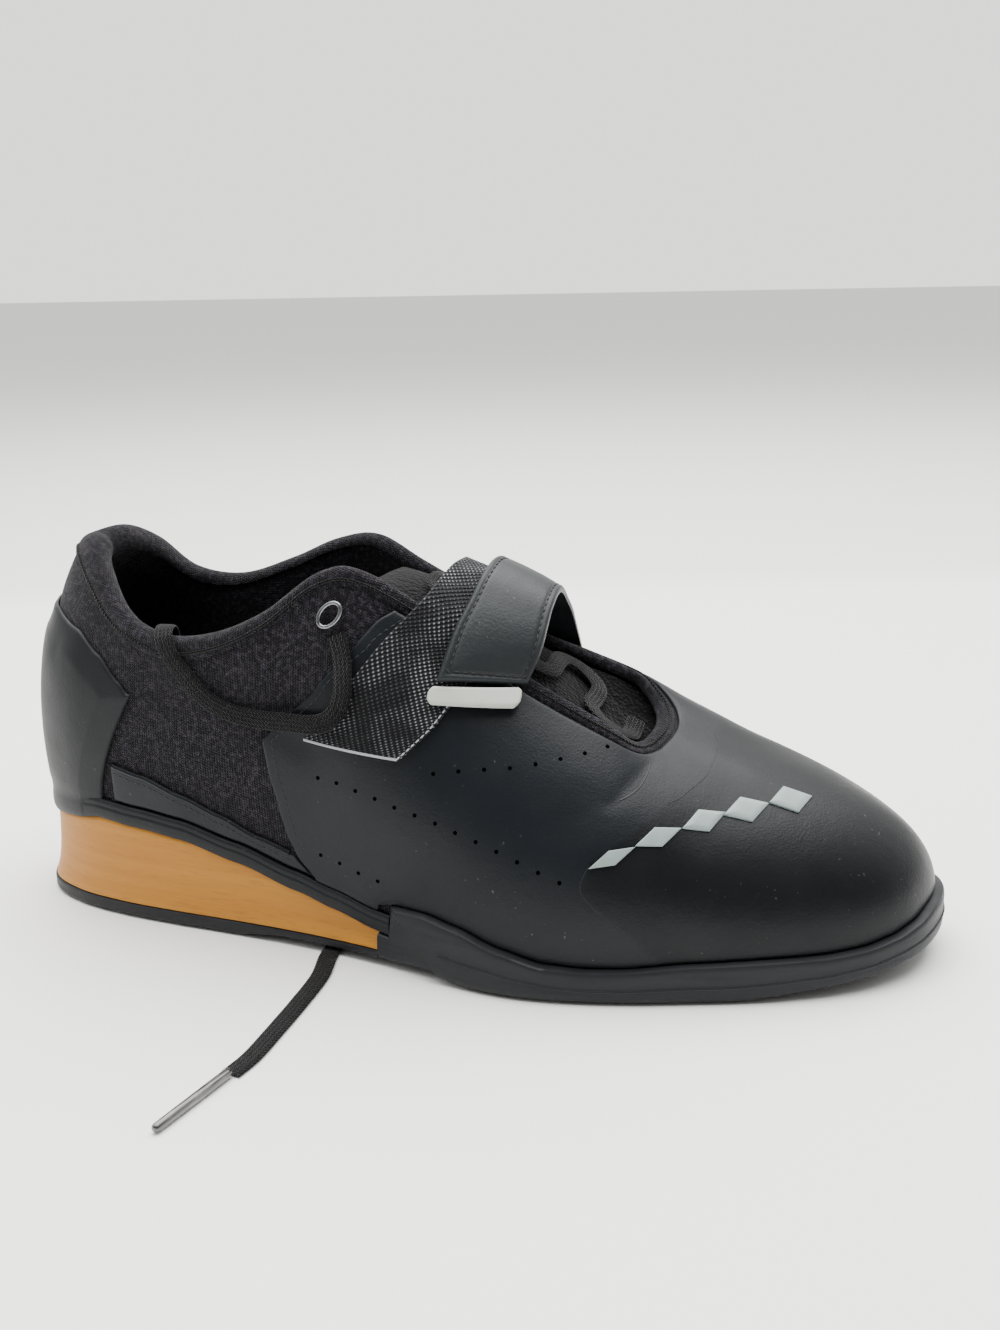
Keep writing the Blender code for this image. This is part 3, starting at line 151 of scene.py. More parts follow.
# Sections of the wall: base_x, base_y, top_x, top_y, top_z as shares of the length, ball width and collar
# height; leans in degrees; pulls as shares of the section's chord; padding; reach of the sole past it
WALLS = (
    (0.022, 0.000, 0.069, 0.000, 1.014, 7, 33, 0.35, 0.35, 1.00, 0.055),
    (0.037, -0.158, 0.089, -0.115, 1.012, 6, 31, 0.35, 0.35, 0.95, 0.048),
    (0.082, -0.250, 0.118, -0.202, 0.945, 6, 25, 0.35, 0.33, 0.80, 0.037),
    (0.144, -0.298, 0.157, -0.271, 0.849, 6, 12, 0.33, 0.30, 0.55, 0.031),
    (0.210, -0.319, 0.213, -0.312, 0.797, 8, 2, 0.33, 0.30, 0.42, 0.031),
    (0.272, -0.332, 0.272, -0.326, 0.813, 8, 5, 0.33, 0.30, 0.36, 0.031),
    (0.331, -0.347, 0.331, -0.317, 0.878, 8, 12, 0.33, 0.30, 0.32, 0.031),
    (0.393, -0.369, 0.390, -0.275, 0.987, 8, 20, 0.33, 0.32, 0.28, 0.031),
    (0.456, -0.402, 0.436, -0.248, 0.987, 8, 28, 0.33, 0.34, 0.20, 0.031),
    (0.525, -0.446, 0.515, -0.206, 0.861, 8, 42, 0.33, 0.36, 0.05, 0.036),
    (0.603, -0.479, 0.603, -0.183, 0.714, 10, 52, 0.35, 0.36, 0.00, 0.041),
    (0.689, -0.457, 0.672, -0.165, 0.613, 12, 58, 0.35, 0.38, 0.00, 0.041),
    (0.774, -0.397, 0.695, -0.135, 0.565, 12, 63, 0.34, 0.42, 0.00, 0.040),
    (0.852, -0.327, 0.705, -0.089, 0.552, 10, 68, 0.31, 0.47, 0.00, 0.040),
    (0.921, -0.231, 0.711, -0.046, 0.559, 8, 70, 0.29, 0.51, 0.00, 0.039),
    (0.967, -0.110, 0.714, -0.009, 0.566, 6, 71, 0.28, 0.53, 0.00, 0.038),
    (0.987, 0.037, 0.715, 0.032, 0.573, 5, 71, 0.28, 0.53, 0.00, 0.037),
    (0.980, 0.165, 0.713, 0.073, 0.582, 6, 71, 0.28, 0.52, 0.00, 0.038),
    (0.944, 0.294, 0.707, 0.113, 0.600, 7, 70, 0.29, 0.50, 0.00, 0.040),
    (0.875, 0.381, 0.694, 0.148, 0.632, 8, 66, 0.31, 0.46, 0.00, 0.042),
    (0.787, 0.427, 0.675, 0.170, 0.668, 9, 60, 0.33, 0.41, 0.00, 0.042),
    (0.689, 0.427, 0.620, 0.183, 0.718, 9, 55, 0.35, 0.38, 0.00, 0.043),
    (0.603, 0.397, 0.564, 0.188, 0.769, 8, 50, 0.35, 0.36, 0.00, 0.043),
    (0.525, 0.358, 0.505, 0.202, 0.853, 7, 41, 0.33, 0.36, 0.05, 0.038),
    (0.456, 0.328, 0.439, 0.216, 0.937, 7, 29, 0.33, 0.34, 0.20, 0.031),
    (0.393, 0.315, 0.384, 0.252, 0.996, 7, 18, 0.33, 0.32, 0.28, 0.029),
    (0.331, 0.306, 0.331, 0.284, 0.971, 8, 10, 0.33, 0.30, 0.32, 0.029),
    (0.272, 0.303, 0.272, 0.306, 0.903, 8, 3, 0.33, 0.30, 0.36, 0.029),
    (0.210, 0.303, 0.205, 0.317, 0.845, 8, 1, 0.33, 0.30, 0.42, 0.029),
    (0.144, 0.286, 0.148, 0.292, 0.866, 7, 10, 0.33, 0.30, 0.55, 0.031),
    (0.082, 0.239, 0.115, 0.220, 0.965, 6, 24, 0.35, 0.33, 0.80, 0.036),
    (0.037, 0.147, 0.089, 0.119, 1.018, 6, 31, 0.35, 0.35, 0.95, 0.047),
)
SECTIONS = len(WALLS)
TOE = SECTIONS // 2

# Shares of the length from the heel back, then the share of the named size
SEAT_RISE = (
    (0.0, 1.0), (0.118, 1.0), (0.174, 0.95), (0.223, 0.885), (0.292, 0.70), (0.361, 0.475),
    (0.407, 0.34), (0.456, 0.20), (0.508, 0.10), (0.557, 0.035), (0.607, 0.008), (0.66, 0.0), (1.0, 0.0),
)
SPRING = ((0.0, 0.0), (0.81, 0.0), (0.888, 0.30), (0.928, 0.50), (0.961, 0.72), (1.0, 1.0))
ARCH = ((0.0, 0.0), (0.29, 0.0), (0.34, 1.0), (0.46, 1.0), (0.515, 0.0), (1.0, 0.0))
SIDEWALL = (
    (0.0, 0.90), (0.457, 0.93), (0.482, 0.99), (0.511, 0.985), (0.548, 0.874), (0.593, 0.665),
    (0.633, 0.515), (0.672, 0.48), (0.708, 0.495), (0.764, 0.565), (0.836, 0.60), (0.889, 0.60),
    (0.925, 0.63), (0.951, 0.70), (0.969, 0.79), (0.982, 0.90), (1.0, 1.0),
)
COUNTER_TOP = ((0.0, 0.868), (0.06, 0.855), (0.102, 0.815), (0.133, 0.756), (0.160, 0.689), (0.172, 0.658))
VAMP_EDGE = (
    (0.10, 0.400), (0.21, 0.384), (0.27, 0.364), (0.33, 0.354), (0.41, 0.347), (0.50, 0.338),
    (0.575, 0.333), (0.63, 0.357), (0.714, 0.393), (0.84, 0.436), (0.92, 0.472), (1.05, 0.50),
)
RAND_TOP = ((0.137, 0.453), (0.182, 0.429), (0.230, 0.387), (0.275, 0.346), (0.318, 0.300), (0.372, 0.262))
TONGUE_LINE = (
    (0.425, 0.965), (0.450, 0.962), (0.475, 0.945), (0.510, 0.905), (0.541, 0.85), (0.574, 0.783),
    (0.607, 0.71), (0.640, 0.635), (0.665, 0.58), (0.686, 0.54),
)


def table_at(table: Sequence[tuple[float, float]], x: Any) -> Array:
    """Smooth value of a table, flat past its ends.

    Args:
        table: Rows of place and value.
        x: Place or places to read.

    Returns:
        The values there.
    """
    rows = np.array(table, float)
    x = np.asarray(x, float)
    index = np.clip(np.searchsorted(rows[:, 0], x) - 1, 0, len(rows) - 2)
    share = np.clip((x - rows[index, 0]) / (rows[index + 1, 0] - rows[index, 0]), 0, 1)
    ease = share * share * (3 - 2 * share)
    return rows[index, 1] + (rows[index + 1, 1] - rows[index, 1]) * (0.6 * share + 0.4 * ease)


def seat_z(x: Any) -> Array:
    """Height of the seat at x from the heel back.

    Args:
        x: Distance from the heel back, in metres.

    Returns:
        Height above the floor, in metres.
    """
    share = np.asarray(x) / SIZES.length
    rise = SIZES.heel_rise * table_at(SEAT_RISE, share)
    return SIZES.forefoot_seat + rise + SIZES.toe_spring * table_at(SPRING, share)


def bottom_z(x: Any) -> Array:
    """Height of the tread at x from the heel back."""
    share = np.asarray(x) / SIZES.length
    return SIZES.toe_spring * table_at(SPRING, share) + SIZES.arch_lift * table_at(ARCH, share)


def wedge_top_z(x: Any) -> Array:
    """Height of the wedge's top at x from the heel back.

    Args:
        x: Distance from the heel back, in metres.

    Returns:
        Height above the floor, in metres.
    """
    back = np.maximum(0.0, 1 - np.asarray(x) / (0.118 * SIZES.length))
    dip = SIZES.wedge_back_dip * back * ((2 - back) * 0.5 + 0.5)
    return seat_z(x) - SIZES.plate - 2 * SIZES.clearance - dip


def rail_z(x: Any) -> Array:
    """Height of the heel cup's rail at x from the heel back."""
    return seat_z(x) - SIZES.plate - SIZES.clearance + SIZES.rail_height


def sidewall_z(x: Any) -> Array:
    """Height of the outsole's sidewall at x from the heel back."""
    return SIZES.sidewall_height * table_at(SIDEWALL, np.asarray(x) / SIZES.length)


def between(rows: Iterable[Array], t: Array) -> Array:
    """Catmull-Rom curve between the middle two of four rows, at shares t of the way."""
    a, b, c, d = rows
    return 0.5 * (2 * b + (c - a) * t + (2 * a - 5 * b + 4 * c - d) * t**2 + (3 * b - a - 3 * c + d) * t**3)


def closed_curve(rows: Array, place: Array) -> Array:
    """Smooth curve through closed rows.

    Args:
        rows: The rows, the last one joined to the first.
        place: Places to read, counted in rows.

    Returns:
        One row for each place.
    """
    start = np.floor(place).astype(int)
    return between((rows[(start + step) % len(rows)] for step in (-1, 0, 1, 2)), (place - start)[:, None])


def unit(vectors: Array) -> Array:
    """Vectors of length 1."""
    return vectors / np.maximum(np.linalg.norm(vectors, axis=-1, keepdims=True), 1e-12)


def from_heel(place: Array) -> Array:
    """Places counted from the heel, the same on both sides."""
    return np.minimum(place, SECTIONS - place)


def to_ends(points: Array) -> Array:
    """Distance of a grid's points from its nearer end, first row or last."""
    return np.minimum(*(np.linalg.norm(points - end, axis=2) for end in (points[:1], points[-1:])))


@dataclass(frozen=True)
class Crease:
    """A soft trough, or a ridge if its depth is negative, pressed into the wall along a line.

    start and end are points on the shoe; width is where the trough has run out.
    """

    start: tuple[float, float, float]
    end: tuple[float, float, float]
    width: float
    depth: float


CREASES = (
    # from the tip of the throat down both sides, where the forefoot bends
    Crease((0.1790, -0.0180, 0.0640), (0.1700, -0.0370, 0.0560), 0.0050, 0.0003),
    Crease((0.1800, -0.0260, 0.0615), (0.1560, -0.0440, 0.0500), 0.0140, 0.0004),
    Crease((0.1760, 0.0260, 0.0640), (0.1640, 0.0420, 0.0500), 0.0120, 0.0007),
    Crease((0.2050, -0.0180, 0.0600), (0.1900, -0.0420, 0.0440), 0.0160, 0.0003),
    Crease((0.2020, 0.0300, 0.0580), (0.1900, 0.0440, 0.0420), 0.0140, 0.0005),
    # quarters, below the ears and at the ankle
    Crease((0.0480, -0.0370, 0.0820), (0.0760, -0.0400, 0.0700), 0.0130, 0.0007),
    Crease((0.0200, -0.0350, 0.0850), (0.0500, -0.0380, 0.0600), 0.0120, 0.0005),
    Crease((0.0960, -0.0350, 0.0980), (0.1080, -0.0370, 0.0860), 0.0090, -0.0005),
    Crease((0.0400, 0.0340, 0.0860), (0.0720, 0.0360, 0.0680), 0.0120, 0.0007),
    Crease((0.0960, 0.0320, 0.0960), (0.1020, 0.0350, 0.0780), 0.0100, 0.0005),
    # padded heel, where the cloth outside gathers under the collar's lining
    Crease((-0.0120, -0.0180, 0.1150), (0.0080, -0.0280, 0.0990), 0.0080, 0.0010),
    Crease((-0.0140, 0.0180, 0.1140), (0.0080, 0.0270, 0.0980), 0.0080, 0.0009),
    Crease((-0.0260, -0.0080, 0.0980), (-0.0160, -0.0230, 0.0900), 0.0100, 0.0007),
)


class Skin:
    """The wall's outer face as a dense table, read at a place round the shoe and a share of its height."""

    places: int = SECTIONS * 32
    shares: int = 160

    def __init__(self, sizes: Sizes) -> None:
        """Work out the table.

        Args:
            sizes: Driving sizes of the shoe.
        """
        self.sizes = sizes
        place = np.arange(self.places) * SECTIONS / self.places
        self.rows = closed_curve(np.array(WALLS, float), place)
        controls, self.outward = self._controls(place)
        fine = np.linspace(0, 1, 64)[None, :, None]
        a, b, c, d = (controls[:, None, i] for i in range(4))
        rest = 1 - fine
        curve = a * rest**3 + b * 3 * rest**2 * fine + c * 3 * rest * fine**2 + d * fine**3
        steps = np.linalg.norm(np.diff(curve, axis=1), axis=2)
        lengths = np.concatenate([np.zeros((len(place), 1)), np.cumsum(steps, axis=1)], axis=1)
        self.height = lengths[:, -1]
        want = np.linspace(0, 1, self.shares)
        self.points = np.empty((len(place), self.shares, 3))
        for k in range(len(place)):
            for axis in range(3):
                self.points[k, :, axis] = np.interp(want * self.height[k], lengths[k], curve[k, :, axis])
        self.below = unit(controls[:, 0] - controls[:, 1])
        self.above = unit(controls[:, 3] - controls[:, 2])
        self.normals = self._normals()
        self._press(CREASES)
        self.normals = self._normals()

    def _controls(self, place: Array) -> tuple[Array, Array]:
        """Control points of the sections, and the level way out of each.

        Args:
            place: Place round the shoe, counted in rows of WALLS.

        Returns:
            Four control points for each place, and a level direction.
        """
        size, rows = self.sizes, self.rows
        table = np.array(WALLS, float)
        ahead, behind = closed_curve(table, place + 0.02), closed_curve(table, place - 0.02)
        along = np.zeros((len(place), 3))
        along[:, 0] = (ahead[:, 0] - behind[:, 0]) * size.length
        along[:, 1] = (ahead[:, 1] - behind[:, 1]) * size.ball_width
        outward = unit(np.stack([along[:, 1], -along[:, 0], 0 * along[:, 0]], 1))
        base_x = rows[:, 0] * size.length
        base = np.stack([base_x, rows[:, 1] * size.ball_width, seat_z(base_x) + size.clearance], 1)
        scale = (size.length, size.ball_width, size.collar_height)
        top = rows[:, 2:5] * np.array(scale)
        spread = (base - top) * np.array((1, 1, 0))
        reach = np.linalg.norm(spread, axis=1, keepdims=True) / size.length
        reach = np.clip((reach - 0.06) / 0.08, 0, 1)
        fan = unit(outward * (1 - reach) + unit(spread) * reach)
        chord = np.linalg.norm(top - base, axis=1, keepdims=True)
        up = np.array((0.0, 0.0, 1.0))
        base_lean, top_lean = np.radians(rows[:, 5:6]), np.radians(rows[:, 6:7])
        rise = up * np.cos(base_lean) + outward * np.sin(base_lean)
        fall = -up * np.cos(top_lean) + fan * np.sin(top_lean)
        middle = (base + rise * chord * rows[:, 7:8], top + fall * chord * rows[:, 8:9])
        return np.stack([base, middle[0], middle[1], top], 1), outward

    def _normals(self) -> Array:
        """Outward directions of the table's points.

        Returns:
            One direction of length 1 for each point.
        """
        around = np.roll(self.points, -1, 0) - np.roll(self.points, 1, 0)
        up = np.gradient(self.points, axis=1)
        return unit(np.cross(around, up))

    def _press(self, creases: Iterable[Crease]) -> None:
        """Press the creases into the table.

        Args:
            creases: The troughs and ridges to press.
        """
        shift = np.array((HEEL_SEAT, 0, 0))
        depth = np.zeros(self.points.shape[:2])
        for crease in creases:
            start, end = np.array(crease.start) + shift, np.array(crease.end) + shift
            along = end - start
            share = ((self.points - start) @ along) / (along @ along)
            nearest = start + np.clip(share, 0, 1)[..., None] * along
            away = np.linalg.norm(self.points - nearest, axis=2) / crease.width
            past = np.maximum(np.abs(share - 0.5) - 0.5, 0)
            depth += crease.depth * np.exp(-4 * away**2) * np.exp(-2 * past**2)
        edge = np.clip((1 - np.linspace(0, 1, self.shares)) * self.height[:, None] / 0.006, 0, 1)
        self.points -= self.normals * (depth * edge)[..., None]

    def _read(self, table: Array, place: Array, share: Array) -> Array:
        """Value of a table between its points.

        Args:
            table: Array of places, shares and coordinates.
            place: Place round the shoe, counted in rows of WALLS.
            share: Share of the wall's height.

        Returns:
            One row of coordinates for each place.
        """
        column = (place % SECTIONS) * self.places / SECTIONS
        k = np.floor(column).astype(int)
        u = (column - k)[..., None]
        row = np.clip(share, 0, 1) * (self.shares - 1)
        j = np.minimum(np.floor(row).astype(int), self.shares - 2)
        v = (row - j)[..., None]
        k0, k1 = k % self.places, (k + 1) % self.places
        low = table[k0, j] * (1 - u) + table[k1, j] * u
        high = table[k0, j + 1] * (1 - u) + table[k1, j + 1] * u
        return low * (1 - v) + high * v

    def _column(self, table: Array, place: Array) -> Array:
        """Value of a table of one number or vector for each place.

        Args:
            table: Array of places.
            place: Place round the shoe, counted in rows of WALLS.

        Returns:
            One value for each place.
        """
        column = (np.asarray(place, float) % SECTIONS) * self.places / SECTIONS
        k = np.floor(column).astype(int)
        u = column - k
        if table.ndim > 1:
            u = u[..., None]
        return table[k % self.places] * (1 - u) + table[(k + 1) % self.places] * u

    def height_at(self, place: Any) -> Array:
        """Length of the section, lower edge to upper edge."""
        return self._column(self.height, place)

    def number(self, place: Any, column: int) -> Array:
        """One number of the sections' table, at places."""
        return self._column(self.rows[:, column], place)

    def pad(self, place: Any) -> Array:
        """Share of the collar's padding at places."""
        return np.maximum(0.0, self.number(place, 9))

    def welt(self, place: Any) -> Array:
        """Reach of the sole past the wall's lower edge."""
        return self.number(place, 10) * self.sizes.ball_width

    def out(self, place: Any) -> Array:
        """Level way out of the shoe at places."""
        return unit(self._column(self.outward, place))

    def normal(self, place: Any, share: Any) -> Array:
        """Outward direction of the outer face."""
        place, share = np.broadcast_arrays(np.asarray(place, float), np.asarray(share, float))
        return unit(self._read(self.normals, place, share))

    def at(self, place: Any, share: Any, lift: Any = 0.0) -> Array:
        """Point off the outer face.

        Args:
            place: Place round the shoe, counted in rows of WALLS.
            share: Share of the wall's height; it runs straight on past 0 and 1.
            lift: Distance off the face.

        Returns:
            Points from the heel back, in metres.
        """
        place, share, lift = np.broadcast_arrays(*(np.asarray(v, float) for v in (place, share, lift)))
        point = self._read(self.points, place, share)
        height = self.height_at(place)
        under = np.minimum(share, 0) * height
        over = np.maximum(share - 1, 0) * height
        point = point - self._column(self.below, place) * under[..., None]
        point = point + self._column(self.above, place) * over[..., None]
        return point + self.normal(place, share) * lift[..., None]

    def share_at(self, place: Any, z: Any) -> Array:
        """Share at which the outer face reaches height z.

        Args:
            place: Place round the shoe, counted in rows of WALLS.
            z: Height above the floor.

        Returns:
            Share of the wall's height.
        """
        place, z = np.broadcast_arrays(np.asarray(place, float), np.asarray(z, float))
        low, high = np.full(place.shape, -0.3), np.ones(place.shape)
        for _ in range(22):
            middle = (low + high) / 2
            under = self.at(place, middle)[..., 2] < z
            low, high = np.where(under, middle, low), np.where(under, high, middle)
        return (low + high) / 2

    def place_at(self, side: Side, x: Any, share: Any = 0.0) -> Array:
        """Place on one side whose wall lies at x from the heel back.

        Args:
            side: Side of the shoe.
            x: Distance from the heel back, in metres.
            share: Share of the wall's height at which x is met.

        Returns:
            Place round the shoe.
        """
        x, share = np.broadcast_arrays(np.asarray(x, float), np.asarray(share, float))
        low, high = np.zeros(x.shape), np.full(x.shape, float(TOE))
        for _ in range(22):
            middle = (low + high) / 2
            place = middle if side is Side.LATERAL else SECTIONS - middle
            behind = self.at(place, share)[..., 0] < x
            low, high = np.where(behind, middle, low), np.where(behind, high, middle)
        middle = (low + high) / 2
        return middle if side is Side.LATERAL else SECTIONS - middle

    def place_on(self, side: Side, x: Any, z: Any) -> tuple[Array, Array]:
        """Place and share of the outer face's point at x and height z on one side.

        Args:
            side: Side of the shoe.
            x: Distance from the heel back, in metres.
            z: Height above the floor.

        Returns:
            Place, and share of the wall's height.
        """
        x, z = np.broadcast_arrays(np.asarray(x, float), np.asarray(z, float))
        share = np.full(x.shape, 0.5)
        place = self.place_at(side, x, share)
        for _ in range(6):
            share = self.share_at(place, z)
            place = self.place_at(side, x, share)
        return place, self.share_at(place, z)

    def rim(self, place: Any, z: Any, offset: Any) -> Array:
        """Point level outwards from the wall's lower edge line, at height z.

        Args:
            place: Place round the shoe, counted in rows of WALLS.
            z: Height above the floor.
            offset: Distance outwards.

        Returns:
            Points from the heel back.
        """
        place, z, offset = np.broadcast_arrays(*(np.asarray(v, float) for v in (place, z, offset)))
        base = self.at(place, 0.0)
        point = base + self.out(place) * offset[..., None]
        point[..., 2] = z
        return point

    def hug(self, place: Any, z: Any, offset: Any) -> Array:
        """Point off the outer face at height z, also below its lower edge.

        Args:
            place: Place round the shoe, counted in rows of WALLS.
            z: Height above the floor.
            offset: Distance off the face.

        Returns:
            Points from the heel back.
        """
        place, z, offset = np.broadcast_arrays(*(np.asarray(v, float) for v in (place, z, offset)))
        share = self.share_at(place, z)
        normal = self.normal(place, share)
        level = normal * np.array((1, 1, 0))
        size = np.maximum(np.linalg.norm(level, axis=-1), 0.5)[..., None]
        on_wall = self.at(place, share) + unit(level) * (offset[..., None] / size)
        below = (z <= self.at(place, 0.0)[..., 2])[..., None]
        return np.where(below, self.rim(place, z, offset), on_wall)


# Meshes


def grid_faces(rows: int, columns: int, closed_rows: bool, closed_columns: bool) -> Array:
    """Quads of a grid of points, with the normals to the right of rows crossed with columns.

    Args:
        rows: Number of rows.
        columns: Number of points in a row.
        closed_rows: Whether the last row joins the first.
        closed_columns: Whether each row's last point joins its first.

    Returns:
        Four point numbers for each face.
    """
    index = np.arange(rows * columns).reshape(rows, columns)
    if closed_rows:
        index = np.concatenate([index, index[:1]])
    if closed_columns:
        index = np.concatenate([index, index[:, :1]], axis=1)
    corners = (index[:-1, :-1], index[1:, :-1], index[1:, 1:], index[:-1, 1:])
    return np.stack([corner.ravel() for corner in corners], 1)


def make_object(name: str, points: Array, faces: Iterable[Sequence[int]]) -> Piece:
    """Mesh object from points given from the heel back.

    Args:
        name: Name of the object.
        points: Points from the heel back.
        faces: Point numbers of each face.

    Returns:
        The object, in the shoe's own frame.
    """
    shifted = np.asarray(points, float).reshape(-1, 3) - np.array((HEEL_SEAT, 0, 0))
    mesh = bpy.data.meshes.new(name)
    mesh.from_pydata(shifted.tolist(), [], [list(map(int, face)) for face in faces])
    mesh.update()
    obj = bpy.data.objects.new(name, mesh)
    bpy.context.scene.collection.objects.link(obj)
    return obj


def face_out(obj: Piece) -> None:
    """Merge doubled points and turn the whole closed mesh outwards.

    Args:
        obj: A closed mesh.
    """
    bm = bmesh.new()
    bm.from_mesh(obj.data)
    bmesh.ops.remove_doubles(bm, verts=bm.verts, dist=1e-6)
    if bm.calc_volume(signed=True) < 0:
        bmesh.ops.reverse_faces(bm, faces=bm.faces)
    bm.to_mesh(obj.data)
    bm.free()
    obj.data.update()


def smooth(obj: Piece, degrees: float = 40.0) -> None:
    """Shade smooth, sharp where faces meet at more than an angle."""
    obj.data.shade_smooth()
    obj.data.set_sharp_from_angle(angle=math.radians(degrees))


@dataclass
class Loft:
    """A closed solid through loops of points, each loop closed on itself.

    loops is an array of loops, points and coordinates. around says that the last loop joins the first.
    cap fills the end loops by pairing their first half with their second half.
    """

    name: str
    loops: Array
    around: bool = False
    cap: bool = True

    def build(self, uv: Optional[Array] = None, bands: Optional[Array] = None) -> Piece:
        """Make the object.

        Args:
            uv: Two numbers in metres for each point, for patterns that follow the surface.
            bands: Material number for each face row of a loop.

        Returns:
            The object, shaded smooth.
        """
        count, points = self.loops.shape[:2]
        faces = grid_faces(count, points, self.around, True)
        slots = np.zeros(len(faces), int)
        if bands is not None:
            spans = count if self.around else count - 1
            slots = np.asarray(bands)
            slots = np.tile(slots, spans) if slots.ndim == 1 else slots[:spans].ravel()
        obj_faces = faces.tolist()
        slot_list = slots.tolist()
        if self.cap and not self.around:
            half = points // 2
            for base, flip in ((0, False), ((count - 1) * points, True)):
                for k in range(half - 1):
                    quad = [base + k, base + k + 1, base + points - 2 - k, base + points - 1 - k]
                    obj_faces.append(quad[::-1] if flip else quad)
                    slot_list.append(slot_list[0])
        obj = make_object(self.name, self.loops, obj_faces)
        obj.data.polygons.foreach_set("material_index", slot_list)
        if uv is not None:
            layer = obj.data.uv_layers.new(name="Cloth")
            flat = np.asarray(uv, float).reshape(-1, 2)
            corners = np.empty(len(obj.data.loops), int)
            obj.data.loops.foreach_get("vertex_index", corners)
            layer.data.foreach_set("uv", flat[corners].ravel())
        face_out(obj)
        smooth(obj)
        return obj


def rounded(profile: Array, reach: float) -> Array:
    """Share of full thickness at distances from an edge that is rounded over a reach."""
    near = np.clip(profile / reach, 0, 1)
    return np.sqrt(1 - (1 - near) ** 2)


def arc_length(points: Array) -> Array:
    """Distance along a row of points."""
    steps = np.linalg.norm(np.diff(points, axis=0), axis=1)
    return np.concatenate([[0.0], np.cumsum(steps)])


def open_curve(points: Array, samples: int) -> Array:
    """Smooth curve through rows, read at even places.

    Args:
        points: The rows, of any number of columns.
        samples: How many places are read, both ends with them.

    Returns:
        One row for each place.
    """
    points = np.asarray(points, float)
    place = np.linspace(0, len(points) - 1, samples)
    start = np.minimum(np.floor(place).astype(int), len(points) - 2)
    padded = np.concatenate([points[:1], points, points[-1:]])
    return between((padded[start + step] for step in range(4)), (place - start)[:, None])


def cloth_map(around: Array, along: Array) -> Array:
    """Two numbers in metres for each point of a grid, across and along."""
    around, along = np.broadcast_arrays(around, along)
    return np.stack([around, along], 2)


def folded(outer: Array, inner: Array) -> Array:
    """Rows that go along an outer face and back along an inner one."""
    return np.concatenate([outer, inner[:, ::-1]], 1)


# Finishes


class Weave(Enum):
    """How a cloth is made, for its relief."""

    JERSEY = "jersey"
    BASKET = "basket"
    HERRINGBONE = "herringbone"


@dataclass(frozen=True)
class Finish:
    """A material with its plain name, sRGB colour and roughness."""

    name: str
    colour: str
    roughness: float

    def build(self) -> Material:
        """The Blender material, made once.

        Returns:
            The material with its pattern.
        """
        found = bpy.data.materials.get(self.name)
        if found:
            return found
        material = bpy.data.materials.new(self.name)
        material.use_nodes = True
        tree = material.node_tree
        tree.nodes.clear()
        plain = {"Base Color": srgb(self.colour), "Roughness": self.roughness}
        shader = add(tree, "ShaderNodeBsdfPrincipled", {}, plain)
        add(tree, "ShaderNodeOutputMaterial", {}, {"Surface": shader.outputs[0]})
        self.paint(tree, shader)
        return material

    def paint(self, tree: Tree, shader: Node) -> None:
        """Put the finish's pattern on the shader."""

    def mix(self, tree: Tree, factor: Any, first: Any, second: Any) -> Socket:
        """Colour between two colours, given as hex or as sockets.

        Args:
            tree: The material's nodes.
            factor: Share of the second.
            first: A colour.
            second: A colour.

        Returns:
            The mixed colour's socket.
        """
        sides = [srgb(side) if isinstance(side, str) else side for side in (first, second)]
        links = {0: factor, 6: sides[0], 7: sides[1]}
        return add(tree, "ShaderNodeMix", {"data_type": "RGBA"}, links).outputs[2]

    def place(self, tree: Tree) -> Socket:
        """Place on the object, in metres."""
        return add(tree, "ShaderNodeTexCoord", {}, {}).outputs["Object"]

    def cells(self, tree: Tree, size: float) -> Socket:
        """Distance from the middles of small rounded cells."""
        links = {"Vector": self.place(tree), "Scale": 1 / size}
        return add(tree, "ShaderNodeTexVoronoi", {}, links).outputs[0]

    def noise(self, tree: Tree, size: Any, detail: float = 2.0) -> Socket:
        """Cloudy noise on the object.

        Args:
            tree: The material's nodes.
            size: About how large its patches are in metres, or three sizes for its three ways.
            detail: How many times smaller patches lie in the larger ones.

        Returns:
            A socket with values from 0 to 1.
        """
        sizes = size if isinstance(size, tuple) else (size, size, size)
        scale = tuple(1 / s for s in sizes)
        scaled = add(tree, "ShaderNodeMapping", {}, {"Vector": self.place(tree), "Scale": scale})
        links = {"Vector": scaled.outputs[0], "Scale": 1.0, "Detail": detail}
        return add(tree, "ShaderNodeTexNoise", {}, links).outputs[0]

    def span(self, tree: Tree, value: Any, low: float, high: float, out: Any = (0.0, 1.0)) -> Any:
        """Value turned from one range to another, held at its ends."""
        links = {0: value, 1: low, 2: high, 3: out[0], 4: out[1]}
        return add(tree, "ShaderNodeMapRange", {}, links).outputs[0]

    def bump(self, tree: Tree, shader: Node, height: Any, depth: float) -> None:
        """Put relief on the shader, over any relief that it has.

        Args:
            tree: The material's nodes.
            shader: The shader that gets the relief.
            height: Height from 0 to 1, as a socket.
            depth: What a height of 1 means, in metres.
        """
        links = {"Height": height, "Distance": depth, "Strength": 1.0}
        if shader.inputs["Normal"].links:
            links["Normal"] = shader.inputs["Normal"].links[0].from_socket
        node = add(tree, "ShaderNodeBump", {}, links)
        tree.links.new(node.outputs[0], shader.inputs["Normal"])


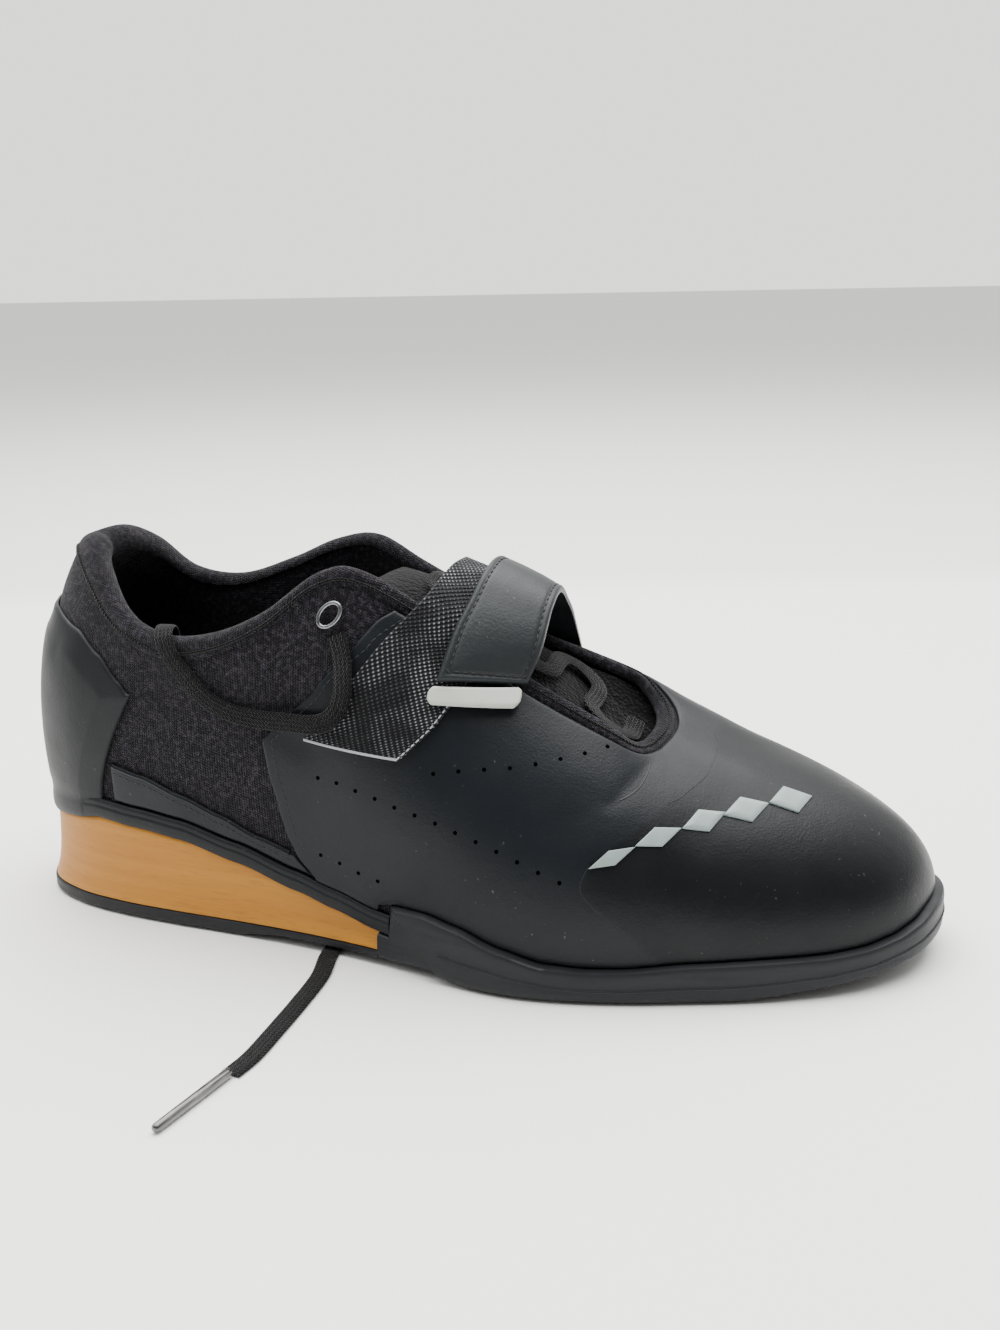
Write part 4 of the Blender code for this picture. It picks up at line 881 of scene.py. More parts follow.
@dataclass(frozen=True)
class Cloth(Finish):
    """Knitted or woven yarn: threads at their real pitch, flecks of a lighter yarn painted paler on the
    relief's crests as painted highlight, small painted glints on the crests, and a soft sheen.
    """

    fleck_and_highlight: str = "3a373c"
    glint_colour: str = "6a656c"
    flecks: float = 0.5
    pitch: float = 0.0011
    weave: Weave = Weave.JERSEY
    depth: float = 0.00025
    sheen: float = 0.25

    def paint(self, tree: Tree, shader: Node) -> None:
        """Yarn relief from the cloth's own map; flecks and painted glints from object space, brighter on the
        relief's crests.

        Args:
            tree: The material's nodes.
            shader: The material's shader.
        """
        uv = add(tree, "ShaderNodeUVMap", {"uv_map": "Cloth"}, {})
        parts = add(tree, "ShaderNodeSeparateXYZ", {}, {0: uv.outputs[0]})
        across, along = parts.outputs[0], parts.outputs[1]
        turn = math.tau / self.pitch

        def math_node(kind: str, first: Any, second: Any = 0.0) -> Socket:
            """Output of one sum."""
            return add(tree, "ShaderNodeMath", {"operation": kind}, {0: first, 1: second}).outputs[0]

        if self.weave is Weave.BASKET:
            rows = math_node("SINE", math_node("MULTIPLY", across, turn / 2))
            columns = math_node("SINE", math_node("MULTIPLY", along, turn / 2))
            relief = math_node("MULTIPLY", rows, columns)
        else:
            slope = 1.1 if self.weave is Weave.JERSEY else 2.2
            leaned = math_node("MULTIPLY", math_node("PINGPONG", across, self.pitch / 2), slope)
            relief = math_node("SINE", math_node("MULTIPLY", math_node("ADD", along, leaned), turn))
            ribs = math_node("SINE", math_node("MULTIPLY", across, turn))
            relief = math_node("ADD", relief, math_node("MULTIPLY", ribs, 0.5))
        level = self.span(tree, relief, -1.0, 1.0)
        # patch marks the lighter yarn's flecks, and lit shows them more on the relief's crests as a painted
        # highlight; glint marks small painted glints.
        patch = self.span(tree, self.noise(tree, self.pitch * 1.6, 3), 0.62 - 0.2 * self.flecks, 0.74)
        glint = self.span(tree, self.noise(tree, self.pitch * 0.9, 1), 0.70, 0.80, (0.0, 0.6))
        if self.weave is Weave.BASKET:
            # On the webbing, patch is broad soft patches of painted highlight, and the silver yarn is painted
            # bright on its crests only inside them.
            patch = self.span(tree, self.noise(tree, 0.012, 2), 0.42, 0.66, (0.12, 1.0))
            lit = math_node("MULTIPLY", patch, math_node("POWER", level, 4.0))
            glint = math_node("MULTIPLY", patch, self.span(tree, level, 0.8, 1.0, (0.0, 0.5)))
        else:
            lit = math_node("MULTIPLY", patch, math_node("ADD", math_node("MULTIPLY", level, 0.7), 0.3))
        # The fleck colour goes where lit is high and the glint colour on the crests where glint is high:
        # painted highlight and painted glints.
        colour = self.mix(tree, lit, self.colour, self.fleck_and_highlight)
        colour = self.mix(tree, math_node("MULTIPLY", glint, level), colour, self.glint_colour)
        tree.links.new(colour, shader.inputs["Base Color"])
        shader.inputs["Sheen Weight"].default_value = self.sheen
        shader.inputs["Sheen Roughness"].default_value = 0.4
        shader.inputs["Specular IOR Level"].default_value = 0.08
        self.bump(tree, shader, level, self.depth)
        self.bump(tree, shader, self.noise(tree, 0.0006, 2), self.depth * 0.6)


@dataclass(frozen=True)
class Pile(Finish):
    """Looped or brushed lining: small soft tufts that swallow the light, their tips painted paler as painted
    highlight.
    """

    tuft: float = 0.0012
    fleck_and_highlight: str = "2b2a2d"

    def paint(self, tree: Tree, shader: Node) -> None:
        """Tufts as small rounded cells, with painted highlight on their tips.

        Args:
            tree: The material's nodes.
            shader: The material's shader.
        """
        cells = self.cells(tree, self.tuft)
        self.bump(tree, shader, self.span(tree, cells, 0.0, 0.8, (1.0, 0.0)), 0.0005)
        self.bump(tree, shader, self.noise(tree, 0.004, 3), 0.0006)
        # lit paints the tufts' tips in the paler colour: painted highlight.
        lit = self.span(tree, cells, 0.5, 0.1)
        tree.links.new(self.mix(tree, lit, self.colour, self.fleck_and_highlight), shader.inputs["Base Color"])
        shader.inputs["Sheen Weight"].default_value = 0.08
        shader.inputs["Sheen Roughness"].default_value = 0.5
        shader.inputs["Specular IOR Level"].default_value = 0.08


@dataclass(frozen=True)
class Film(Finish):
    """Polyurethane film or skived synthetic leather: fine grain, clouded gloss, a little dust."""

    grain: float = 0.0007
    depth: float = 0.00004
    dust: str = "6d6d6b"
    dusty: float = 0.4
    gloss: float = 0.18
    front: str = ""

    def paint(self, tree: Tree, shader: Node) -> None:
        """Grain, clouds and dust.

        Args:
            tree: The material's nodes.
            shader: The material's shader.
        """
        self.bump(tree, shader, self.cells(tree, self.grain), self.depth)
        self.bump(tree, shader, self.noise(tree, 0.006, 4), self.depth * 3)
        cloud = self.noise(tree, 0.02, 4)
        rough = self.span(tree, cloud, 0.3, 0.7, (self.roughness - 0.05, self.roughness + 0.06))
        tree.links.new(rough, shader.inputs["Roughness"])
        specks = self.span(tree, self.noise(tree, 0.0012, 1), 0.735, 0.79)
        where = self.span(tree, self.noise(tree, 0.03, 2), 0.45, 0.65, (0.0, self.dusty))
        dust = add(tree, "ShaderNodeMath", {"operation": "MULTIPLY"}, {0: specks, 1: where}).outputs[0]
        colour = self.colour
        if self.front:
            toe = add(tree, "ShaderNodeAttribute", {"attribute_name": "toe"}, {}).outputs["Fac"]
            colour = self.mix(tree, toe, self.colour, self.front)
        tree.links.new(self.mix(tree, dust, colour, self.dust), shader.inputs["Base Color"])
        shader.inputs["Specular IOR Level"].default_value = self.gloss


@dataclass(frozen=True)
class Rubber(Finish):
    """Moulded carbon rubber: dull, faintly mottled, paler where it has rubbed on the floor."""

    worn: str = "4a4948"

    def paint(self, tree: Tree, shader: Node) -> None:
        """Mottle, and wear near the floor.

        Args:
            tree: The material's nodes.
            shader: The material's shader.
        """
        shader.inputs["Specular IOR Level"].default_value = 0.2
        self.bump(tree, shader, self.noise(tree, 0.0012, 3), 0.00008)
        self.bump(tree, shader, self.noise(tree, 0.009, 3), 0.00015)
        height = add(tree, "ShaderNodeSeparateXYZ", {}, {0: self.place(tree)}).outputs[2]
        low = self.span(tree, height, 0.004, 0.0, (0.0, 0.8))
        patches = self.span(tree, self.noise(tree, (0.02, 0.02, 0.002), 4), 0.45, 0.7)
        wear = add(tree, "ShaderNodeMath", {"operation": "MULTIPLY"}, {0: low, 1: patches}).outputs[0]
        tree.links.new(self.mix(tree, wear, self.colour, self.worn), shader.inputs["Base Color"])
        rough = self.span(tree, patches, 0.0, 1.0, (self.roughness - 0.05, self.roughness + 0.08))
        tree.links.new(rough, shader.inputs["Roughness"])


@dataclass(frozen=True)
class WoodPrint(Finish):
    """Wood-grain film on a moulded heel block: warm tan with short fine darker dashes along it."""

    streak: str = "96601c"
    shade: str = "a86c1c"

    def paint(self, tree: Tree, shader: Node) -> None:
        """Broad soft bands, then fine dashes 4 to 10 mm long and half a millimetre high.

        Args:
            tree: The material's nodes.
            shader: The material's shader.
        """
        bands = self.span(tree, self.noise(tree, (0.09, 0.09, 0.0045), 3), 0.35, 0.7)
        colour = self.mix(tree, bands, self.colour, self.shade)
        dashes = self.span(tree, self.noise(tree, (0.007, 0.007, 0.0007), 2), 0.56, 0.72, (0.0, 0.55))
        tree.links.new(self.mix(tree, dashes, colour, self.streak), shader.inputs["Base Color"])
        self.bump(tree, shader, dashes, 0.00003)
        shader.inputs["Specular IOR Level"].default_value = 0.25
        shader.inputs["Coat Weight"].default_value = 0.05
        shader.inputs["Coat Roughness"].default_value = 0.35


@dataclass(frozen=True)
class Wire(Finish):
    """Drawn and plated steel wire: a bright thin line with a soft highlight."""

    def paint(self, tree: Tree, shader: Node) -> None:
        """Metal with faint rubbing.

        Args:
            tree: The material's nodes.
            shader: The material's shader.
        """
        shader.inputs["Metallic"].default_value = 1.0
        ends = (self.roughness - 0.06, self.roughness + 0.1)
        rough = self.span(tree, self.noise(tree, 0.0015, 3), 0.3, 0.7, ends)
        tree.links.new(rough, shader.inputs["Roughness"])


@dataclass(frozen=True)
class ClearTip(Finish):
    """Shrunk clear acetate over the lace's end: smoky, glossy, with the lace showing through."""

    def paint(self, tree: Tree, shader: Node) -> None:
        """Clear coat over a dark core.

        Args:
            tree: The material's nodes.
            shader: The material's shader.
        """
        cloud = self.span(tree, self.noise(tree, (0.006, 0.006, 0.0008), 2), 0.4, 0.7)
        tree.links.new(self.mix(tree, cloud, self.colour, "5c5a57"), shader.inputs["Base Color"])
        shader.inputs["Coat Weight"].default_value = 0.8
        shader.inputs["Coat Roughness"].default_value = 0.1


@dataclass(frozen=True)
class Matte(Finish):
    """Plain moulded or painted surface with a faint grain, for small bright parts."""

    grain: float = 0.0012

    def paint(self, tree: Tree, shader: Node) -> None:
        """Faint relief and slightly uneven tone.

        Args:
            tree: The material's nodes.
            shader: The material's shader.
        """
        cloud = self.span(tree, self.noise(tree, 0.004, 3), 0.3, 0.7, (0.0, 0.25))
        shade = "".join(f"{int(int(self.colour[i : i + 2], 16) * 0.8):02x}" for i in (0, 2, 4))
        tree.links.new(self.mix(tree, cloud, self.colour, shade), shader.inputs["Base Color"])
        self.bump(tree, shader, self.noise(tree, self.grain, 2), 0.00003)


# Jersey of two dark polyester yarns: a matte, faintly heathered plum black, with painted glints on the yarn's
# crests
KNIT = Cloth("heathered_polyester_jersey", "121115", 0.9, "3f3a43", "605b65", 0.8, 0.0009, sheen=0.12)
# Brushed terry loops: the darkest cloth, dull, with only a faint painted highlight on the loops' tips
LINING = Pile("brushed_terry_lining", "0d0d0f", 0.95)
# Ribbed knit tape round the collar: a dull line darker than the wall, with faint painted glints on its crests
BINDING = Cloth(
    "ribbed_knit_binding", "0b0b0c", 0.9, "161618", "222225", 0.3, 0.0012, Weave.JERSEY, 0.0003, 0.15
)
# Synthetic leather with a polyurethane skin: satin blue black, darker in the smooth film at the toe
LEATHER = Film("skived_synthetic_leather", "13161a", 0.40, front="0d0f12")
# The same skin over a thicker, padded base: smoother, and painted paler than the vamp's skin, a painted
# highlight of the light on it
STRAP_LEATHER = Film("smooth_strap_leather", "232628", 0.42, 0.0008, 0.00005)
# Injection-moulded nylon: an even satin grey with faint scuffs
CUP_FILM = Film("moulded_nylon_counter", "17191b", 0.46, 0.0009, 0.00003, "5c5e5c", 0.5)
# Carbon-filled rubber: dull charcoal, paler where it rubs on the floor
OUTSOLE_RUBBER = Rubber("carbon_rubber", "1e1f22", 0.5, "3c3b3a")
# Wood-grain print under a clear film: warm tan with fine darker dashes
WEDGE_PRINT = WoodPrint("wood_print_film", "b47a26", 0.5)
# Spacer mesh of curled yarn over foam: rough and near black, the curls' tips faintly painted paler as painted
# highlight
MESH_CLOTH = Pile("curled_spacer_mesh", "08080a", 0.9, 0.0012, "101012")
# Nylon webbing with a silver yarn: bright points on the weave's crests, partly the silver yarn and partly
# painted glint, in soft patches of painted highlight on black
WEBBING = Cloth(
    "silver_yarn_webbing_painted_glint", "0c0c0e", 0.5, "6e7177", "c9cbd0", 0.9, 0.0009, Weave.BASKET, 0.0004, 0.1
)
# Flat polyester lace: dull black with a herringbone of ribs and faint painted glints on their crests
LACE = Cloth(
    "flat_woven_lace", "0a0a0b", 0.9, "19191b", "232326", 0.3, 0.0013, Weave.HERRINGBONE, 0.0003, 0.15
)
# Bonded nylon sewing thread: small dark dashes
THREAD = Finish("bonded_nylon_thread", "08080a", 0.6)
# Moulded light plastic: the one plain pale bar
PALE_TAB = Matte("moulded_pale_plastic", "b6bab1", 0.42)
# Raised film pressed onto the leather: a cool grey that catches the light
RAISED_GREY = Matte("raised_grey_film", "84918f", 0.55)
# Plated steel wire: a grey line with a soft highlight
STEEL_WIRE = Wire("plated_steel_wire", "77787c", 0.3)
# Clear acetate shrunk round the lace: smoky and glossy
TIP = ClearTip("clear_acetate_tip", "2a2928", 0.25)
# Cut ends of the webbing's yarns: a thin frayed light line
PALE_THREAD = Matte("frayed_pale_yarn", "9a9da0", 0.8)
# Painted shadow of a punched hole: a near-black mark for its dark inside, where no light comes back
HOLE = Film("punched_hole_shadow", "020202", 0.95, dusty=0.0, gloss=0.0)


# Geometry Nodes trees


class Trees:
    """Node trees that repeat a small shape along a line or on marked points."""

    def __init__(self) -> None:
        """Build both trees."""
        self.stitches = self._tree("stitch_row", ("Pitch", "Length", "Radius"))
        self.marks = self._tree("marked_points", ("Sides", "Radius", "Depth"))
        self._fill_stitches()
        self._fill_marks()

    def _tree(self, name: str, sizes: Sequence[str]) -> Tree:
        """An empty tree with geometry, named sizes and a material.

        Args:
            name: Name of the tree.
            sizes: Names of its sizes.

        Returns:
            The tree.
        """
        tree = bpy.data.node_groups.new(name, "GeometryNodeTree")
        tree.interface.new_socket("Geometry", in_out="INPUT", socket_type="NodeSocketGeometry")
        for size in sizes:
            kind = "NodeSocketInt" if size == "Sides" else "NodeSocketFloat"
            tree.interface.new_socket(size, in_out="INPUT", socket_type=kind)
        tree.interface.new_socket("Material", in_out="INPUT", socket_type="NodeSocketMaterial")
        tree.interface.new_socket("Geometry", in_out="OUTPUT", socket_type="NodeSocketGeometry")
        return tree

    def _end(self, tree: Tree, shape: Any, entry: Node) -> None:
        """Realize the instances, set their material and give them out.

        Args:
            tree: Tree to end.
            shape: Socket with the instances.
            entry: The tree's input node.
        """
        real = add(tree, "GeometryNodeRealizeInstances", {}, {0: shape})
        links = {"Geometry": real.outputs[0], "Material": entry.outputs["Material"]}
        done = add(tree, "GeometryNodeSetMaterial", {}, links)
        add(tree, "NodeGroupOutput", {}, {0: done.outputs[0]})

    def _fill_stitches(self) -> None:
        """Stitches: a small spindle at every pitch of a line, along it."""
        tree = self.stitches
        entry = tree.nodes.new("NodeGroupInput")
        line = add(tree, "GeometryNodeMeshToCurve", {}, {0: entry.outputs["Geometry"]})
        links = {"Curve": line.outputs[0], "Length": entry.outputs["Pitch"]}
        even = add(tree, "GeometryNodeResampleCurve", {"mode": "LENGTH"}, links)
        tangent = add(tree, "GeometryNodeInputTangent", {}, {})
        turn = add(tree, "FunctionNodeAlignRotationToVector", {"axis": "Z"}, {"Vector": tangent.outputs[0]})
        ball = add(tree, "GeometryNodeMeshUVSphere", {}, {"Segments": 6, "Rings": 4, "Radius": 1.0})
        links = {0: entry.outputs["Radius"], 1: entry.outputs["Radius"], 2: entry.outputs["Length"]}
        size = add(tree, "ShaderNodeCombineXYZ", {}, links)
        links = {
            "Points": even.outputs[0], "Instance": ball.outputs[0],
            "Rotation": turn.outputs[0], "Scale": size.outputs[0],
        }
        placed = add(tree, "GeometryNodeInstanceOnPoints", {}, links)
        self._end(tree, placed.outputs[0], entry)

    def _fill_marks(self) -> None:
        """Marks: a short prism on every point, standing along the point's own direction."""
        tree = self.marks
        entry = tree.nodes.new("NodeGroupInput")
        dots = add(tree, "GeometryNodeMeshToPoints", {}, {"Mesh": entry.outputs["Geometry"], "Radius": 0.001})
        way = add(tree, "GeometryNodeInputNamedAttribute", {"data_type": "FLOAT_VECTOR"}, {"Name": "way"})
        turn = add(tree, "FunctionNodeAlignRotationToVector", {"axis": "Z"}, {"Vector": way.outputs[0]})
        links = {
            "Vertices": entry.outputs["Sides"],
            "Radius": entry.outputs["Radius"],
            "Depth": entry.outputs["Depth"],
        }
        prism = add(tree, "GeometryNodeMeshCylinder", {}, links)
        links = {"Points": dots.outputs[0], "Instance": prism.outputs["Mesh"], "Rotation": turn.outputs[0]}
        placed = add(tree, "GeometryNodeInstanceOnPoints", {}, links)
        self._end(tree, placed.outputs[0], entry)

    def run(self, tree: Tree, guide: Piece, name: str, **inputs: Any) -> Piece:
        """Run a tree on a guide and keep its result as a plain mesh.

        Args:
            tree: The tree to run.
            guide: Object with the line or points; it is removed.
            name: Name of the new piece.
            inputs: The tree's inputs by name.

        Returns:
            The piece.
        """
        modifier = guide.modifiers.new("maker", "NODES")
        modifier.node_group = tree
        for item in tree.interface.items_tree:
            if item.item_type == "SOCKET" and item.in_out == "INPUT" and item.name in inputs:
                modifier[item.identifier] = inputs[item.name]
        graph = bpy.context.evaluated_depsgraph_get()
        mesh = bpy.data.meshes.new_from_object(guide.evaluated_get(graph))
        guide.modifiers.remove(modifier)
        bpy.data.objects.remove(guide, do_unlink=True)
        mesh.name = name
        piece = bpy.data.objects.new(name, mesh)
        bpy.context.scene.collection.objects.link(piece)
        mesh.shade_smooth()
        return piece


# Sub-assemblies


@dataclass
class Part:
    """What each sub-assembly is built with."""

    skin: Skin
    trees: Trees
    sizes: Sizes = field(default_factory=Sizes)

    def keep(self, piece: Piece, slot: str, finishes: Sequence[Finish], *nodes: str) -> Piece:
        """Dress a piece, ride it on the shoe and report it.

        Args:
            piece: The finished mesh.
            slot: Not used.
            finishes: Finishes in the order of the mesh's material numbers.
            nodes: Solids that the piece stands for.

        Returns:
            The piece.
        """
        piece.data.materials.clear()
        for finish in finishes:
            piece.data.materials.append(finish.build())
        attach(piece, "root")
        if nodes:
            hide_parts(*nodes)
        LOG.info("%s: %d faces", piece.name, len(piece.data.polygons))
        return piece

    def stitches(self, name: str, line: Array, slot: str, pitch: float, finish: Finish = THREAD) -> None:
        """A row of stitches along a line of points.

        Args:
            name: Name of the piece.
            line: Points of the seam.
            slot: A slot name, handed on to keep.
            pitch: Length of a stitch with its gap.
            finish: The thread.
        """
        guide = make_object(name + "_guide", line, [])
        count = len(line)
        guide.data.edges.add(count - 1)
        guide.data.edges.foreach_set("vertices", [n for k in range(count - 1) for n in (k, k + 1)])
        sizes = {"Pitch": pitch, "Length": pitch * 0.40, "Radius": 0.00026}
        piece = self.trees.run(self.trees.stitches, guide, name, Material=finish.build(), **sizes)
        self.keep(piece, slot, [finish])

    def marks(
        self, name: str, points: Array, ways: Array, slot: str, finish: Finish, sides: int,
        radius: float, depth: float,
    ) -> None:
        """Short prisms on points, standing along their ways.

        Args:
            name: Name of the piece.
            points: Middles of the prisms.
            ways: Direction of each prism.
            slot: A slot name, handed on to keep.
            finish: Finish of them all.
            sides: Sides of a prism.
            radius: Radius of a prism.
            depth: Length of a prism.
        """
        guide = make_object(name + "_guide", points, [])
        layer = guide.data.attributes.new("way", "FLOAT_VECTOR", "POINT")
        layer.data.foreach_set("vector", np.asarray(ways, float).ravel())
        sizes = {"Sides": sides, "Radius": radius, "Depth": depth}
        piece = self.trees.run(self.trees.marks, guide, name, Material=finish.build(), **sizes)
        piece.data.shade_flat()
        self.keep(piece, slot, [finish])

    def tube(
        self, name: str, line: Array, radius: Any, slot: str, finish: Finish, closed: bool = False
    ) -> None:
        """A thin round bead along a line of points.

        Args:
            name: Name of the piece.
            line: Points of its middle line.
            radius: Radius, or one for each point.
            slot: A slot name, handed on to keep.
            finish: Its finish.
            closed: Whether its ends meet.
        """
        loops, lengths = sweep(line, np.asarray(radius, float) * np.ones(len(line)), 8, closed)
        piece = Loft(name, loops, around=closed).build(lengths)
        self.keep(piece, slot, [finish])

    def on_skin(self, points: Sequence[Sequence[float]], samples: int) -> tuple[Array, Array]:
        """Places and shares of a smooth line through points near the outer face.

        Args:
            points: Points in mm from the heel back.
            samples: How many places are read.

        Returns:
            Places and shares of the line.
        """
        want = np.array(points, float) * MM
        flat = self.skin.points.reshape(-1, 3)
        found = [int(np.argmin(((flat - point) ** 2).sum(1))) for point in want]
        place = np.array([index // self.skin.shares for index in found]) * SECTIONS / self.skin.places
        share = np.array([index % self.skin.shares for index in found]) / (self.skin.shares - 1)
        if samples == len(points):
            return place, share
        line = open_curve(np.stack([place, share], 1), samples)
        return line[:, 0], line[:, 1]

    def foot_z(self, x: Array) -> Array:
        """Height above which an overlay shows: the rail or the outsole's sidewall.

        Args:
            x: Distance from the heel back, in metres.

        Returns:
            Height above the floor.
        """
        rail = np.where(x < self.sizes.wedge_front + 0.004, rail_z(x), 0.0)
        wall = np.where(x > self.sizes.wedge_front - 0.004, sidewall_z(x), 0.0)
        return np.maximum(rail, wall)


def sweep(line: Array, radius: Array, corners: int, closed: bool) -> tuple[Array, Array]:
    """Round loops along a line, and a map of them in metres.

    Args:
        line: Points of the middle line.
        radius: Radius at each point.
        corners: Points of a loop.
        closed: Whether the ends meet.

    Returns:
        The loops, and two numbers for each of their points.
    """
    ahead = np.roll(line, -1, 0) if closed else np.concatenate([line[1:], line[-1:]])
    behind = np.roll(line, 1, 0) if closed else np.concatenate([line[:1], line[:-1]])
    along = unit(ahead - behind)
    side = np.cross(along, (0.0, 0.0, 1.0))
    weak = np.linalg.norm(side, axis=1) < 0.2
    side[weak] = np.cross(along[weak], (0.0, 1.0, 0.0))
    side = unit(side)
    rise = np.cross(side, along)
    turn = np.arange(corners) * math.tau / corners
    ring = side[:, None] * np.cos(turn)[None, :, None] + rise[:, None] * np.sin(turn)[None, :, None]
    loops = line[:, None] + ring * radius[:, None, None]
    lengths = arc_length(line)
    return loops, cloth_map((turn * radius.mean())[None, :], lengths[:, None])


def edge_levels(length: Array, count: int, reach: float) -> Array:
    """Distances from 0 to a length, one row each, close together near both ends.

    Args:
        length: One length for each row.
        count: Distances between the two edges.
        reach: How far in from an edge they lie close.

    Returns:
        One row of distances for each length.
    """
    near = np.array((0.0, 0.12, 0.35, 0.65, 1.0)) * reach
    near = np.minimum(near[None, :], length[:, None] * 0.3)
    inner = np.linspace(0, 1, count + 2)[1:-1]
    span = length[:, None] - 2 * near[:, -1:]
    middle = near[:, -1:] + span * inner[None, :]
    return np.concatenate([near, middle, length[:, None] - near[:, ::-1]], 1)


@dataclass
class Upper(Part):
    """Hollow knit bootie: quarters, toe box and padded collar in one wall, with a turned lining."""

    columns: int = 512
    rows: int = 60
    roll: int = 12
    terry_end: float = 7.5

    def build(self) -> None:
        """Make the wall, its rolled edge and its piping."""
        size = self.sizes
        place = (np.arange(self.columns) * SECTIONS / self.columns)[:, None]
        height = self.skin.height_at(place)
        bead = size.bead_width / height
        body = np.linspace(0, 1, self.rows)[None, :] * (1 - bead)
        outer = self.skin.at(place, body)
        step = 1 - bead * np.array((1.0, 0.88, 0.72, 0.4, 0.0))[None, :]
        rise = size.bead * np.array((0.3, 0.8, 1.0, 1.0, 1.0))[None, :]
        edge = self.skin.at(place, step, rise)
        top, normal = self.skin.at(place, 1.0), self.skin.normal(place, 1.0)
        upward = unit(self.skin.at(place, 1.0) - self.skin.at(place, 0.97))
        radius = (size.wall + 2 * size.bead + size.collar_pad * self.skin.pad(place)) / 2
        middle = top + normal * (size.bead - radius)[..., None]
        turn = np.linspace(0, math.pi, self.roll)[None, :, None]
        r = radius[..., None]
        rolled = middle + normal * r * np.cos(turn) + upward * r * np.sin(turn)
        inside = np.linspace(1 - 0.001, 0, self.rows)[None, :]
        lining = self.skin.at(place, inside, -self._depth(place, inside))
        loops = np.concatenate([outer, edge, rolled, lining], 1)
        around = arc_length(self.skin.at(place[:, 0], 0.5))[:, None]
        rising = (body * height, step * height, height + turn[..., 0] * radius, height * (2 - inside))
        uv = cloth_map(around, np.concatenate(rising, 1))
        bands = np.zeros(loops.shape[:2], int)
        bands[:, self.rows :] = 1
        bands[:, self.rows + 4 + self.roll :] = 2
        near = from_heel(place[:, 0])
        bands[near < self.terry_end, self.rows + 4 :] = 2
        piece = Loft("upper_bootie", loops, around=True).build(uv, bands)
        self.keep(piece, "knit", (KNIT, BINDING, LINING), "upper")
        piping = self.skin.at(place[:, 0], 1 - 0.45 * bead[:, 0], size.bead)
        self.tube("collar_piping", piping, 0.00055, "knit", BINDING, closed=True)

    def _depth(self, place: Array, share: Array) -> Array:
        """Thickness of the wall, with the collar's padding.

        Args:
            place: Place round the shoe, counted in rows of WALLS.
            share: Share of the wall's height.

        Returns:
            Thickness in metres.
        """
        down = (1 - share) * self.skin.height_at(place)
        fill = np.clip(1 - down / self.sizes.pad_depth, 0, 1)
        return self.sizes.wall + self.sizes.collar_pad * self.skin.pad(place) * fill * fill * (3 - 2 * fill)


# rear edge of the smooth toe film on the vamp: heights, and distances from the heel's back
FILM_EDGE = (
    (0.0089, 0.0219, 0.0333, 0.0415, 0.0547, 0.0567, 0.0591, 0.0613, 0.0646),
    (0.2308, 0.2185, 0.2050, 0.2064, 0.2256, 0.2308, 0.2345, 0.2358, 0.2340),
)


# lines on the vamp, in mm from the heel's back: name, points, samples, sink, radius and finish; the two film
# edges take the paler strap leather as a painted highlight along the edge
SEAM_LINES = (
    (
        "toe_film_edge",
        (
            (234.1, 7.9, 64.6), (235.8, -7.5, 61.3), (234.5, -14.8, 59.1), (230.8, -22.1, 56.7),
            (225.6, -29.3, 54.7),
        ),
        60, 0.0, 0.00014, STRAP_LEATHER,
    ),
    (
        "side_film_edge", ((206.4, -47.8, 41.5), (205.0, -50.9, 33.3), (218.5, -50.0, 21.9)),
        50, 0.0, 0.00012, STRAP_LEATHER,
    ),
    (
        "throat_seam", ((218.4, -19.5, 63.2), (217.3, -29.6, 59.3), (212.5, -35.0, 56.9)),
        40, 0.0001, 0.0003, THREAD,
    ),
)

# rows of punched holes, in mm from the heel's back, each with its number of holes
HOLE_ROWS = (
    (((159.1, -45.0, 64.5), (173.5, -42.0, 65.5), (187.4, -37.4, 66.9), (206.2, -24.9, 69.3)), 8),
    (
        (
            (121.2, -43.7, 58.9), (141.4, -47.0, 54.9), (160.8, -49.0, 49.9), (179.8, -50.6, 43.6),
            (198.0, -51.1, 36.4),
        ),
        13,
    ),
    (((120.5, -43.5, 33.7), (130.4, -45.4, 31.2), (140.2, -47.3, 28.8)), 4),
)

# middle line of the raised lozenges on the toe, in mm from the heel's back
LOZENGE_SPINE = (
    (206.5, -48.2, 40.7), (217.0, -42.7, 45.0), (227.3, -35.8, 48.7), (237.6, -27.4, 50.6),
    (248.3, -19.9, 51.8), (259.1, -11.4, 51.9), (270.1, -0.7, 50.4),
)
LOZENGE_STEPS = ((1.0, 0.0), (1.0, 0.0006), (0.9, 0.0009), (0.5, 0.0010), (0.02, 0.0010))  # size and rise


